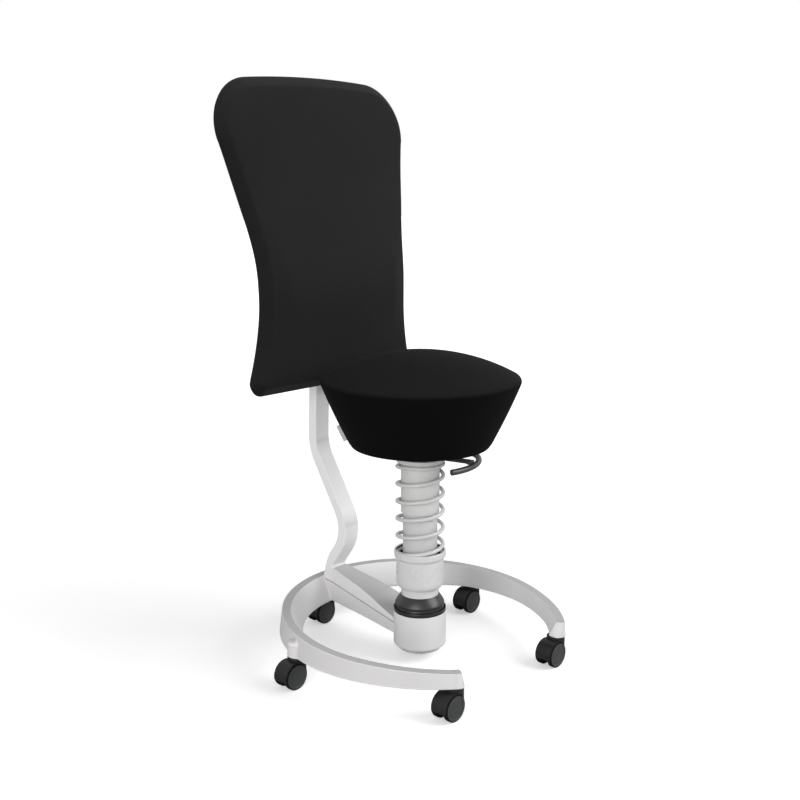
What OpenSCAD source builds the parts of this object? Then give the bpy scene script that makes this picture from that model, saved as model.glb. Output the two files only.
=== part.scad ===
// Balance stool with backrest: a bouncing, tilting column on a C-shaped castor ring.
// Millimetres. The origin is on the floor under the column, +Z is up, the sitter faces -Y.

/* [Castors] */
// Wheel diameter
wheel_d = 52; // [46:1:56]
// Width of one wheel
wheel_w = 10; // [8:0.5:14]
// Gap between the two wheels of a castor, where the housing's web runs
wheel_gap = 18; // [13:0.5:20]
// Distance from the swivel axis back to the axle
trail = 17; // [15:0.5:19]
// Axle diameter
axle_d = 8; // [6:0.5:10]
// Thickness of the hood over the wheels
hood_wall = 1.4; // [1:0.1:2]
// Stem diameter
stem_d = 11; // [9:0.5:13]
// Height of the stem inside its socket
stem_len = 21; // [16:1:24]
// Radius of the circle that the five stems stand on
castor_circle_r = 280; // [260:1:300]
// Angle of the two front castors from straight ahead
front_castor_angle = 35; // [30:1:38]
// Angle of the two side castors from straight ahead
side_castor_angle = 107; // [95:1:115]

/* [Foot ring] */
// Width of the ring's top face
ring_top_w = 14.4; // [12:0.2:18]
// Width of the ring at its underside
ring_bottom_w = 32; // [30:0.5:36]
// How far the top outer edge stands outside the castor circle
ring_top_out = 2; // [0:0.5:4]
// How far the bottom outer edge stands outside the castor circle
ring_bottom_out = 8; // [6:0.5:10]
// Height of the ring's top face above the floor on the column's axis
ring_top_z = 101.3; // [100:0.1:104]
// Forward slope of the ring's top face in degrees
ring_tilt = 2.62; // [1.8:0.02:2.8]
// How far the two front castors stand inside the castor circle
front_castor_inset = 1; // [0:0.5:3]
// Diameter of the rounded bosses over the side and rear castors
boss_d = 38; // [36:0.5:40]
// Outer diameter of the plastic socket that takes a castor stem
socket_d = 16; // [15:0.5:20]

/* [Hub and spoke] */
// Outer diameter of the hub
hub_d = 107.8; // [106.4:0.2:116]
// Height of the hub's rim above the floor
hub_top_z = 100.4; // [97:0.2:104]
// Height of the hub's underside above the floor
hub_bottom_z = 27; // [25:0.2:31]
// Diameter of the hub's bore
hub_bore_d = 80; // [74:1:82]
// Diameter of the plate that closes the hub from below
end_plate_d = 90; // [86:1:94]
// Thickness of the end plate
end_plate_t = 7.5; // [6:0.5:11]
// Width of the spoke where it leaves the ring
spoke_root_w = 47; // [40:1:54]
// Width of the spoke where it meets the hub
spoke_hub_w = 92; // [80:1:96]

/* [Tilt joint] */
// Height of the tilt centre above the floor
pivot_z = 97.4; // [95:0.2:99]
// Diameter of the pivot ball
ball_d = 36; // [30:1:38]
// Wall of the rubber ring between the ball and its cup
bearing_wall = 7.7; // [6:0.1:9]
// Outer diameter of the rubber dome over the joint
dome_d = 102.4; // [100:0.2:103.6]
// Wall of the rubber dome
dome_wall = 3; // [2:0.5:4]
// Height of the static rubber ring under the dome
boot_ring_h = 9; // [6:0.5:11]

/* [Column] */
// Diameter of the neck between the dome and the collar
neck_d = 76.8; // [70:0.2:80]
// Height of the neck's top above the floor
neck_top_z = 151; // [147:0.5:155]
// Diameter of the collar's body
collar_d = 97; // [94:0.2:100]
// Diameter of the collar's lip
lip_d = 105.4; // [105:0.2:112]
// Height of the lip
lip_h = 13; // [10:0.5:18]
// Height of the lip's top above the floor
lip_top_z = 230; // [225:0.5:235]
// Outer diameter of the lower tube
lower_tube_d = 70; // [66:0.2:72]
// Height of the lower tube's top above the floor
lower_tube_top_z = 333; // [325:1:342]
// Wall of the lower tube
lower_tube_wall = 3.2; // [2:0.2:4]

/* [Bounce spring] */
// Wire diameter
wire_d = 8; // [6:0.1:8]
// Mean radius of the coils
spring_r = 46.4; // [46.1:0.1:46.6]
// Number of coils, flat end coils included
spring_turns = 6.6; // [6:0.1:7.2]
// Part of a coil that lies flat at each end
flat_turn = 0.68; // [0.6:0.02:0.75]
// Outer diameter of the upper tube
upper_tube_d = 78; // [76:0.2:78.4]
// Height of the upper tube's lower end above the floor
upper_tube_bottom_z = 310; // [303:1:318]
// Height of the spring plate's underside above the floor
spring_plate_z = 414.5; // [410:0.5:416]
// Diameter of the spring plate
spring_plate_d = 96; // [92:1:100]
// Thickness of the spring plate
spring_plate_t = 9.5; // [6:0.5:11]

/* [Gas spring] */
// Outer diameter of the stand tube
stand_tube_d = 50; // [46:1:54]
// Wall of the stand tube
stand_tube_wall = 2; // [1.5:0.1:3]
// Diameter of the gas cylinder
gas_cyl_d = 28; // [26:1:30]
// Diameter of the piston rod
piston_rod_d = 10; // [8:0.5:12]
// Diameter of the release pin
release_pin_d = 8; // [6:0.5:9]
// Height that the seat can rise
lift_travel = 120; // [90:1:130]

/* [Seat] */
// Diameter of the seat at its rim
seat_d = 399; // [380:1:402]
// Diameter of the seat at its underside
seat_bottom_d = 280; // [270:1:300]
// Height of the seat's underside above the floor
seat_bottom_z = 447.5; // [447.5:0.5:452]
// Height from the seat's underside to its rim
seat_side_h = 133; // [110:0.5:140]
// Rise of the crown above the rim
seat_crown = 57; // [40:1:65]
// Radius of the rounded rim
seat_rim_r = 9; // [6:0.5:12]
// Diameter of the plate under the cushion
seat_plate_d = 250; // [220:1:256]
// Thickness of the plate under the cushion
seat_plate_t = 8; // [6:0.5:10]
// Length of the bare fabric tab in the side seam
tab_len = 35; // [25:1:40]
// How far the tab stands out
tab_reach = 9.5; // [6:0.5:12]

/* [Lever] */
// Diameter of the lever's rod
rod_d = 12; // [10:0.5:13]
// Height of the rod's middle above the floor
rod_z = 423; // [420:0.5:424]
// Radius of the rod's long curve
rod_curve_r = 124; // [118:1:128]
// Angle that the long curve sweeps
rod_sweep = 72; // [55:1:80]
// Width of the lever's flat arm
lever_arm_w = 22; // [16:1:26]
// Thickness of the lever's flat arm
lever_arm_t = 4; // [3:0.5:4.5]

/* [Arm] */
// Width of the arm's bar
arm_w = 41; // [36:1:46]
// Thickness of the arm's bar
arm_t = 22; // [18:0.5:26]
// Radius of the bar's rounded corners
arm_corner_r = 5; // [3:0.5:8]
// Radius of the knee along the middle of the bar
knee_r = 86; // [70:1:90]
// Radius of the upper bend along the middle of the bar
bend_r = 105; // [80:1:130]
// Height of the arm's top above the floor
arm_top_z = 690; // [670:1:720]

/* [Backrest] */
// Half width of the backrest at its waist
waist_half_w = 206.5; // [190:0.5:225]
// Height of the backrest's lower edge above the floor
back_bottom_z = 542; // [530:1:550]
// Height of the backrest's top edge at its middle
back_top_z = 1172; // [1120:1:1200]
// Height of the waist above the floor
waist_z = 751; // [735:1:765]
// Radius of the sides' hollow curve below the waist
lower_hollow_r = 630; // [560:5:900]
// Radius of the sides' hollow curve above the waist
upper_hollow_r = 550; // [500:5:700]
// Outward slope of the straight part of the sides in degrees
flare_angle = 13; // [9:0.5:15]
// Radius of the lower corners
bottom_corner_r = 32; // [22:1:45]
// Radius of the upper corners
top_corner_r = 85; // [72:1:95]
// Rise of the top edge from its corners to its middle
top_rise = 17; // [10:1:30]
// Thickness of the cushion from its rim to its face
pad_t = 22; // [16:0.5:26]
// Extra thickness of the cushion at the waist
lumbar_t = 11; // [6:0.5:14]
// Width of the sloping edge around the cushion's face
pad_bevel = 15; // [10:0.5:20]
// Thickness of the carrier behind the cushion
carrier_t = 14; // [10:0.5:16]

/* [Hidden] */
$fn = 96;

// Clearances
run_gap = 0.06;
soft_gap = 0.3;
stem_gap = 1;
eps = 0.01;
lap = 0.5;
big = 400;

// Colours
white_paint = [0.86, 0.86, 0.86];
warm_grey = [0.80, 0.80, 0.81];
rubber_black = [0.10, 0.10, 0.10];
plastic_black = [0.14, 0.14, 0.14];
fabric_black = [0.07, 0.07, 0.07];
steel = [0.62, 0.62, 0.63];

// Castor places, counted from the left side round the front
castor_angles = [-side_castor_angle, -front_castor_angle, front_castor_angle, side_castor_angle, 180];
function castor_r(k) = castor_circle_r - (k == 2 || k == 3 ? front_castor_inset : 0);
function castor_at(k) =
    [castor_r(k) * sin(castor_angles[k - 1]), -castor_r(k) * cos(castor_angles[k - 1])];
wheel_r = wheel_d / 2;
wheel_clear = 0.8;
hood_r = wheel_r + wheel_clear + hood_wall;
hood_half_w = wheel_gap / 2 + wheel_w - 2.5;
hood_foot_z = wheel_r - 6;
housing_block_r = 18.5;
housing_top_z = 2 * wheel_r + 7;
boss_bottom_z = housing_top_z + stem_gap;
socket_depth = stem_len - stem_gap + 2;

// Ring: outline of its section as [radius, height under the top face]
ring_out_r = castor_circle_r + ring_top_out;
ring_in_r = ring_out_r - ring_top_w;
ring_mid_h = ring_top_z - boss_bottom_z;
ring_out_lean = (ring_bottom_out - ring_top_out) / ring_mid_h;
ring_in_lean = (ring_bottom_w - ring_top_w) / ring_mid_h - ring_out_lean;
ring_rise = castor_circle_r * sin(ring_tilt);
ring_full_h = ring_mid_h + ring_rise + 4;
ring_end_out = 10.8;
boss_r = boss_d / 2;
boss_top_r = 8.5;
end_boss_r = ring_bottom_w / 2;
function ring_section(h) = [[ring_in_r - ring_in_lean * h, -h], [ring_out_r + ring_out_lean * h, -h],
    [ring_out_r, 0], [ring_in_r, 0]];

// Hub
hub_r = hub_d / 2;
hub_bore_r = hub_bore_d / 2;
hub_curve_z = 8;
hub_foot_r = end_plate_d / 2 + 4;
dome_r = dome_d / 2;
dome_skirt_z = pivot_z + 4;
recess_r = dome_r + 0.8;
recess_z = pivot_z - 8.5;
end_plate_screw_r = 34;
end_plate_screw_d = 4.8;
hub_floor_z = hub_bottom_z + 12;
hub_eye_r = 26;
buffer_bore_r = 24;
buffer_h = 22;

// Foot of the arm and spoke, in the plane of the column and the knee, as [y, z]
spoke_root_y = castor_circle_r - 10;
foot_end_y = castor_circle_r - 15.3;
part_line = [[30, 75.7], [137.3, 90.7], [foot_end_y, 109.2]];
foot_ridge = [[29, 79.4], [60.7, 88.8], [92.6, 99.8], [119.4, 109.8], [150.3, 118.2],
    [foot_end_y - 29.8, 135.7]];
spoke_under = [[30, 51.1], [137.3, 57], [spoke_root_y, 61.5]];
spoke_flat_y = castor_circle_r - 45;
fillet_r = 34;
part_gap = 0.4;
arm_bolt_ys = [95, 205];
arm_bolt_d = 8;
arm_bolt_head_d = 13;
arm_bolt_seat_z = 66.5;

// Arm: corners of the middle line as [y, z]
arm_foot = [foot_end_y - 8.9, 134.2];
knee = [191.4, 223.9];
upper_corner = [297.1, 397.4];
arm_top_y = 286.1;

// Column
cup_floor_z = lip_top_z - lip_h;
lower_tube_r = lower_tube_d / 2;
lower_tube_bore_r = lower_tube_r - lower_tube_wall;
upper_tube_r = upper_tube_d / 2;
stand_tube_r = stand_tube_d / 2;
gas_cyl_r = gas_cyl_d / 2;
bounce_travel = 60;
stand_tube_bottom_z = neck_top_z + bounce_travel + 8;
spring_plate_top_z = spring_plate_z + spring_plate_t;
gas_cyl_top_z = spring_plate_top_z + 9;
stand_bush_len = 80;
gas_cyl_bottom_z = spring_plate_top_z - stand_bush_len - lift_travel + 15;
rod_bottom_z = stand_tube_bottom_z + 6;

// Spring, and the directions that the wire's ends lie in
spring_foot_z = cup_floor_z + wire_d / 2;
spring_head_z = spring_plate_z - wire_d / 2;
spring_start_angle = 222;
rings_per_turn = 8;
wire_sides = 6;

// Seat
seat_r = seat_d / 2;
seat_rim_z = seat_bottom_z + seat_side_h;
bracket_r = 40;
bracket_bottom_z = spring_plate_top_z + 3;
seat_screw_r = bracket_r - 8;
seat_screw_d = 4.8;
tab_azimuth = 133;

// Lever
rod_centre = [-16, -4];
rod_tip_angle = -105.5;
hook_r = 26;
hook_sweep = 105;
lever_pivot_y = -30;
lever_pin_d = 4;
lever_pin_z = seat_bottom_z - 6.5;
lever_step_y = -50;
lever_slot_w = 26;
lever_pin_len = lever_slot_w + 16;
lever_end_y = 9;
pin_gap = 0.4;
lever_arm_z = rod_z + rod_d / 2;
slot_top_z = seat_bottom_z - 2;

// Backrest: y of the rim's plane at a height, a lower slope that turns into an upper one
rim_knee_z = 801;
rim_knee_y = 233.7;
rim_blend = 60;
rim_slope_low = -0.055;
rim_slope_high = 0.235;
function rim_y(z) =
    let (mid = (rim_slope_low + rim_slope_high) / 2)
    let (half = (rim_slope_high - rim_slope_low) / 2)
    let (dz = z - rim_knee_z)
    rim_knee_y + mid * dz + half * sqrt(dz * dz + rim_blend * rim_blend);

// Half width of the backrest's sides at a height: two hollow arcs and a straight flare
flare_start_z = waist_z + 15 + upper_hollow_r * sin(flare_angle);
function hollow(r, d) = r - sqrt(r * r - d * d);
function side_half_w(z) =
    z < waist_z ? waist_half_w + hollow(lower_hollow_r, waist_z - z)
    : z < waist_z + 15 ? waist_half_w
    : z < flare_start_z ? waist_half_w + hollow(upper_hollow_r, z - waist_z - 15)
    : waist_half_w + hollow(upper_hollow_r, flare_start_z - waist_z - 15)
      + (z - flare_start_z) * tan(flare_angle);

// Right half of the outline from the bottom's middle to the top's middle, as [x, z]
bottom_arc_z = back_bottom_z + bottom_corner_r;
top_arc_z = back_top_z - top_rise - top_corner_r;
bottom_corner_x = side_half_w(bottom_arc_z) - bottom_corner_r;
top_corner_x = side_half_w(top_arc_z) - top_corner_r;
side_steps = 12;
half_outline = concat(
    [[0, back_bottom_z], [bottom_corner_x / 2, back_bottom_z]],
    [for (a = [-90:22.5:0])
        [bottom_corner_x + bottom_corner_r * cos(a), bottom_arc_z + bottom_corner_r * sin(a)]],
    [for (i = [1:side_steps - 1])
        let (z = bottom_arc_z + (top_arc_z - bottom_arc_z) * i / side_steps)
        [side_half_w(z), z]],
    [for (a = [0:15:75])
        [top_corner_x + top_corner_r * cos(a), top_arc_z + top_corner_r * sin(a)]],
    [for (f = [1, 0.66, 0.33, 0])
        [top_corner_x * f, back_top_z - top_rise * f * f]]);
half_n = len(half_outline);
outline = concat(half_outline,
    [for (i = [half_n - 2:-1:1]) [-half_outline[i][0], half_outline[i][1]]]);
outline_n = len(outline);
back_mid_z = (back_bottom_z + back_top_z) / 2;
ring_steps = [0.35, 0.7];
carrier_bevel = 12;

// Fraction of the outline's size that a point inset by a distance keeps, across and up
function inset_x(d) = 1 - d / waist_half_w;
function inset_z(d) = 1 - 2 * d / (back_top_z - back_bottom_z);
function shrunk(p, d) = [p[0] * inset_x(d), back_mid_z + (p[1] - back_mid_z) * inset_z(d)];

// Cushion: thickness over the rim plane, fuller at the waist and crowned in the middle
pad_crown = 4;
lumbar_spread = 95;
function pad_depth(z, fill) =
    let (u = (z - waist_z) / lumbar_spread)
    pad_t * min(1, fill * 4) + lumbar_t * exp(-u * u) * min(1, fill * 4) + pad_crown * fill;

/* The shapes that several pieces share */
module at_pivot() { translate([0, 0, pivot_z]) children(); }

module disc(r, z0, z1) { translate([0, 0, z0]) cylinder(r = r, h = z1 - z0); }

module tube(r_out, r_in, z0, z1) {
    difference() {
        disc(r_out, z0, z1);
        disc(r_in, z0 - 1, z1 + 1);
    }
}

module at_castor(k) {
    translate([castor_at(k)[0], castor_at(k)[1], 0]) children();
}

module at_axle(k) {
    at_castor(k) translate([-trail, 0, wheel_r]) rotate([90, 0, 0]) children();
}

// A plate cut from a [y, z] outline, centred on x = 0
module side_plate(points, w) {
    translate([-w / 2, 0, 0]) rotate([90, 0, 90]) linear_extrude(w) polygon(points);
}

// The spoke and the arm's foot share one tapering plan
module spoke_plan(extra) {
    root = spoke_root_w / 2 + extra;
    wide = spoke_hub_w / 2 + extra;
    linear_extrude(big) polygon([[-root, spoke_root_y], [-root, spoke_flat_y], [-wide, 29],
        [-wide, 0], [wide, 0], [wide, 29], [root, spoke_flat_y], [root, spoke_root_y]]);
}

// Closed loft through rings of equal length, capped by a fan at each end
module loft(rings) {
    n = len(rings[0]);
    m = len(rings);
    points = concat([for (r = rings) each r],
        [[for (a = [0:2]) mean(rings[0], a)], [for (a = [0:2]) mean(rings[m - 1], a)]]);
    faces = concat(
        [for (i = [0:n - 1]) [n * m, (i + 1) % n, i]],
        [for (k = [0:m - 2]) for (i = [0:n - 1])
            [k * n + i, k * n + (i + 1) % n, (k + 1) * n + i]],
        [for (k = [0:m - 2]) for (i = [0:n - 1])
            [k * n + (i + 1) % n, (k + 1) * n + (i + 1) % n, (k + 1) * n + i]],
        [for (i = [0:n - 1]) [n * m + 1, (m - 1) * n + i, (m - 1) * n + (i + 1) % n]]);
    polyhedron(points = points, faces = faces, convexity = 4);
}
function mean(list, axis, i = 0) =
    i == len(list) ? 0 : list[i][axis] / len(list) + mean(list, axis, i + 1);

// Base
module on_ring_top(angle) {
    translate([0, 0, ring_top_z]) rotate([ring_tilt, 0, 0]) rotate([0, 0, -90 + angle]) children();
}

// Each end of the ring carries a front castor
module ring_end(side) {
    k = side < 0 ? 2 : 3;
    hull() {
        at_castor(k) rotate([0, 0, side * front_castor_angle])
            translate([-side * (boss_r - end_boss_r), 0, boss_bottom_z])
                cylinder(r = end_boss_r, h = 2, $fn = 32);
        on_ring_top(side * front_castor_angle)
            translate([ring_in_r + 0.2, side > 0 ? -ring_end_out : -2, -1.2])
                cube([ring_top_w - 0.4, ring_end_out + 2, 1]);
    }
}

module ring_body() {
    difference() {
        union() {
            on_ring_top(front_castor_angle) rotate_extrude(angle = 360 - 2 * front_castor_angle)
                polygon(ring_section(ring_full_h));
            for (side = [-1, 1]) ring_end(side);
        }
        translate([-big, -big, boss_bottom_z - big]) cube([2 * big, 2 * big, big]);
    }
}

module foot_ring() {
    color(white_paint) difference() {
        union() {
            ring_body();
            for (k = [1, 4, 5]) at_castor(k) rotate_extrude()
                polygon([[0, boss_bottom_z], [boss_r, boss_bottom_z],
                    [boss_r - 2, boss_bottom_z + 24], [boss_top_r, boss_bottom_z + 33],
                    [0, boss_bottom_z + 33]]);
        }
        for (k = [1:5]) at_castor(k) disc(socket_d / 2, 0, boss_bottom_z + socket_depth);
    }
}

module castor_sockets() {
    color(plastic_black) for (k = [1:5]) at_castor(k)
        tube(socket_d / 2, stem_d / 2 + run_gap, boss_bottom_z + 0.6, boss_bottom_z + socket_depth);
}

module hub_outside() {
    rotate_extrude() polygon(concat(
        [[0, hub_bottom_z]],
        [for (a = [-90:15:0])
            [hub_foot_r + (hub_r - hub_foot_r) * cos(a), hub_bottom_z + hub_curve_z * (1 + sin(a))]],
        [[hub_r, hub_top_z], [0, hub_top_z]]));
}

module spoke() {
    intersection() {
        side_plate(concat([for (p = spoke_under) p], [[spoke_root_y, part_line[2][1] - 3.4]],
            [for (i = [2:-1:0]) part_line[i]]), spoke_hub_w);
        spoke_plan(0);
    }
}

// Rounded inner corners between the spoke's sides and the ring
module spoke_fillets() {
    face_r = ring_in_r - ring_in_lean * 24;
    reach = face_r - fillet_r;
    off = spoke_root_w / 2 + fillet_r;
    mid_y = sqrt(reach * reach - off * off);
    wide = off * face_r / reach;
    difference() {
        translate([-wide, mid_y, 74]) cube([2 * wide, 45, 31]);
        for (side = [-1, 1]) translate([side * off, mid_y, 0]) cylinder(r = fillet_r, h = big);
    }
}

// Room that the arm's foot takes on the spoke
module foot_space() {
    intersection() {
        side_plate(concat([for (p = part_line) p], [[foot_end_y + 5, part_line[2][1]],
            [foot_end_y + 5, 200], [30, 200]]), spoke_hub_w);
        spoke_plan(0.5);
    }
}

module hub_carrier() {
    color(warm_grey) difference() {
        union() {
            hub_outside();
            difference() {
                union() {
                    spoke();
                    spoke_fillets();
                }
                ring_body();
                foot_space();
                at_castor(5) translate([0, 0, boss_bottom_z - 1])
                    cylinder(r = boss_r + 1, h = 35);
            }
        }
        disc(hub_eye_r, hub_bottom_z - 1, hub_top_z + 1);
        disc(hub_bore_r, hub_floor_z, hub_top_z + 1);
        disc(recess_r, recess_z, hub_top_z + 1);
        for (a = [0:90:270]) rotate([0, 0, a + 45]) translate([end_plate_screw_r, 0, 0])
            disc(end_plate_screw_d / 2 + run_gap, 0, hub_floor_z - 1);
        for (y = arm_bolt_ys) translate([0, y, 0]) {
            disc(arm_bolt_d / 2 + run_gap, 0, 200);
            disc(arm_bolt_head_d / 2 + run_gap, 0, arm_bolt_seat_z);
        }
    }
}

module end_plate() {
    color(steel) difference() {
        union() {
            disc(hub_eye_r - run_gap, hub_bottom_z - eps, hub_bottom_z + 4);
            rotate_extrude() polygon([[0, hub_bottom_z - end_plate_t],
                [end_plate_d / 2 - 4, hub_bottom_z - end_plate_t],
                [end_plate_d / 2, hub_bottom_z - end_plate_t + 4],
                [end_plate_d / 2, hub_bottom_z], [0, hub_bottom_z]]);
        }
        for (a = [0:90:270]) rotate([0, 0, a + 45]) translate([end_plate_screw_r, 0, 0]) {
            disc(end_plate_screw_d / 2 + run_gap, 0, hub_bottom_z + 20);
            disc(5, 0, hub_bottom_z - end_plate_t + 3);
        }
    }
}

module end_plate_screws() {
    screw_z = hub_bottom_z - end_plate_t + 3;
    color(steel) for (a = [0:90:270]) rotate([0, 0, a + 45]) translate([end_plate_screw_r, 0, 0]) {
        disc(end_plate_screw_d / 2, screw_z - eps, hub_floor_z - 2);
        disc(4.8, screw_z - 2.4, screw_z);
    }
}

module boot_ring() {
    groove = 1;
    color(rubber_black) rotate_extrude() polygon([[recess_r, hub_top_z],
        [hub_r - 0.2, hub_top_z], [hub_r - 0.2, hub_top_z + boot_ring_h - 3],
        [hub_r - 0.2 - groove, hub_top_z + boot_ring_h],
        [recess_r, hub_top_z + boot_ring_h]]);
}

module bearing_cup() {
    color(steel) difference() {
        disc(hub_bore_r - run_gap, pivot_z - 15, pivot_z + 8);
        at_pivot() sphere(r = ball_d / 2 + bearing_wall + soft_gap);
        disc(ball_d / 2 + bearing_wall - 4, 0, pivot_z + 20);
    }
}

module tilt_buffer() {
    color(rubber_black) tube(hub_bore_r - run_gap, buffer_bore_r, hub_floor_z, hub_floor_z + buffer_h);
}

// Rubber ring that carries the first tilt, between two spheres round the pivot
module bearing_ring() {
    color(rubber_black) at_pivot() difference() {
        intersection() {
            sphere(r = ball_d / 2 + bearing_wall);
            translate([0, 0, -8]) cylinder(r = big, h = 14);
        }
        sphere(r = ball_d / 2 + soft_gap);
    }
}

// Column
module pivot_post() {
    color(steel) union() {
        at_pivot() sphere(r = ball_d / 2);
        disc(13, pivot_z, neck_bottom_z);
        disc(9, hub_bottom_z + 14, pivot_z);
    }
}
neck_r = neck_d / 2;
neck_bottom_z = pivot_z + sqrt(dome_r * dome_r - neck_r * neck_r) - dome_wall;

module dome_boot() {
    color(rubber_black) difference() {
        at_pivot() sphere(r = dome_r);
        at_pivot() sphere(r = dome_r - dome_wall);
        disc(big, 0, dome_skirt_z);
        disc(neck_r, pivot_z, big);
    }
}

module neck() {
    color(warm_grey) difference() {
        disc(neck_r, neck_bottom_z, neck_top_z);
        disc(stand_tube_r + 2, neck_bottom_z + 12, neck_top_z + 1);
    }
}

module collar() {
    body_r = collar_d / 2;
    round_h = 14;
    lip_r = lip_d / 2;
    color(warm_grey) difference() {
        rotate_extrude() polygon(concat(
            [[0, neck_top_z], [neck_r + 0.5, neck_top_z]],
            [for (a = [-75:15:0])
                [neck_r + 0.5 + (body_r - neck_r - 0.5) * cos(a), neck_top_z + round_h * (1 + sin(a))]],
            [[body_r, cup_floor_z - 4], [lip_r - 1, cup_floor_z], [lip_r, cup_floor_z + 2],
             [lip_r, lip_top_z - 1], [lip_r - 0.8, lip_top_z], [0, lip_top_z]]));
        disc(lip_r - 2.4, cup_floor_z, big);
        disc(lower_tube_r, neck_top_z - 1, big);
    }
}

module lower_tube() {
    color(warm_grey) tube(lower_tube_r, lower_tube_bore_r, neck_top_z, lower_tube_top_z);
}

module guide_bush() {
    color(plastic_black)
        tube(lower_tube_bore_r, stand_tube_r + run_gap, lower_tube_top_z - 60, lower_tube_top_z - 2);
}

// Bounce
module upper_tube() {
    color(white_paint)
        tube(upper_tube_r, lower_tube_r + run_gap, upper_tube_bottom_z, spring_plate_z);
}

module spring_plate() {
    r = spring_plate_d / 2;
    color(white_paint) rotate_extrude() polygon([[stand_tube_r, spring_plate_z],
        [r - 1.5, spring_plate_z], [r, spring_plate_z + 1.5], [r, spring_plate_top_z - 1.5],
        [r - 1.5, spring_plate_top_z], [stand_tube_r, spring_plate_top_z]]);
}

// Height of the wire's middle, t turns from its lower end
function wire_z(t) =
    let (rise = spring_turns - 2 * flat_turn)
    let (u = min(1, max(0, (t - flat_turn) / rise)))
    spring_foot_z + (spring_head_z - spring_foot_z) * u;
function wire_at(t) =
    let (a = spring_start_angle + 360 * (t - 1))
    [spring_r * cos(a), spring_r * sin(a), wire_z(t)];
wire_rings = round(spring_turns * rings_per_turn);
wire_path = [for (i = [0:wire_rings]) wire_at(i * spring_turns / wire_rings)];

// One ring of the wire round a point, flat sides in and out; the tangent is level
function wire_ring(c, angle) =
    [for (s = [0:wire_sides - 1])
        let (b = 90 + 360 * s / wire_sides)
        let (out = wire_d / 2 * cos(b))
        [c[0] + out * cos(angle), c[1] + out * sin(angle), c[2] + wire_d / 2 * sin(b)]];
function end_run(p, angle, way) = p + way * wire_d * [-sin(angle), cos(angle), 0];
wire_first_angle = spring_start_angle - 360;
wire_last_angle = spring_start_angle + 360 * (spring_turns - 1);

module bounce_spring() {
    rings = concat(
        [wire_ring(end_run(wire_path[0], wire_first_angle, -1), wire_first_angle)],
        [for (i = [0:wire_rings])
            wire_ring(wire_path[i], wire_first_angle + 360 * i * spring_turns / wire_rings)],
        [wire_ring(end_run(wire_path[wire_rings], wire_last_angle, 1), wire_last_angle)]);
    color(white_paint) loft(rings);
}

// Least gap between one coil and the next, measured between the wire's middle points
wire_gaps = [for (i = [0:wire_rings]) for (j = [i + rings_per_turn - 2:1:wire_rings])
    norm(wire_path[i] - wire_path[j]) - wire_d];
echo(least_spring_gap = min(wire_gaps));

module stand_tube() {
    color(steel) difference() {
        disc(stand_tube_r, stand_tube_bottom_z, spring_plate_top_z);
        disc(stand_tube_r - stand_tube_wall, stand_tube_bottom_z + 4, spring_plate_top_z + 1);
    }
}

module stand_bush() {
    color(plastic_black) tube(stand_tube_r - stand_tube_wall, gas_cyl_r + run_gap,
        spring_plate_top_z - stand_bush_len, spring_plate_top_z);
}

module piston_rod() {
    color(steel) {
        disc(piston_rod_d / 2, rod_bottom_z - 1, gas_cyl_bottom_z + lift_travel + 30);
        disc(stand_tube_r - stand_tube_wall - 1, stand_tube_bottom_z + 4, rod_bottom_z);
    }
}

module gas_cylinder() {
    color(steel) difference() {
        disc(gas_cyl_r, gas_cyl_bottom_z, gas_cyl_top_z);
        disc(gas_cyl_r - 2.5, gas_cyl_bottom_z + 12, gas_cyl_top_z - 10);
        disc(piston_rod_d / 2 + run_gap, gas_cyl_bottom_z - 1, gas_cyl_bottom_z + 13);
        disc(release_pin_d / 2 + run_gap, gas_cyl_top_z - 11, gas_cyl_top_z + 1);
    }
}

module release_pin() {
    color(steel) disc(release_pin_d / 2, gas_cyl_top_z - 6, lever_pin_z - lever_arm_t / 2 - pin_gap);
}

// Seat
module seat_bracket() {
    slot_z = lever_arm_z - 5;
    color(plastic_black) difference() {
        disc(bracket_r, bracket_bottom_z, seat_bottom_z);
        disc(gas_cyl_r + run_gap, 0, gas_cyl_top_z);
        disc(release_pin_d / 2 + 4, 0, seat_bottom_z - 1);
        translate([-lever_slot_w / 2, -bracket_r - 1, slot_z])
            cube([lever_slot_w, bracket_r + 13, slot_top_z - slot_z]);
        translate([-lever_pin_len / 2, lever_pivot_y, lever_pin_z]) rotate([0, 90, 0])
            cylinder(r = lever_pin_d / 2, h = lever_pin_len);
        for (a = [45:90:315]) rotate([0, 0, a]) translate([seat_screw_r, 0, 0]) {
            disc(seat_screw_d / 2 + run_gap, 0, big * 2);
            disc(seat_screw_d + run_gap, 0, bracket_bottom_z + 3.5);
        }
    }
}

module seat_plate() {
    color(plastic_black) difference() {
        disc(seat_plate_d / 2, seat_bottom_z, seat_bottom_z + seat_plate_t);
        for (a = [45:90:315]) rotate([0, 0, a]) translate([seat_screw_r, 0, 0])
            disc(seat_screw_d / 2 + run_gap, 0, seat_bottom_z + seat_plate_t - 1);
    }
}

module seat_screws() {
    color(steel) for (a = [45:90:315]) rotate([0, 0, a]) translate([seat_screw_r, 0, 0]) {
        disc(seat_screw_d / 2, bracket_bottom_z, seat_bottom_z + seat_plate_t - 2);
        disc(seat_screw_d, bracket_bottom_z + 0.5, bracket_bottom_z + 3.5);
    }
}

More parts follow.
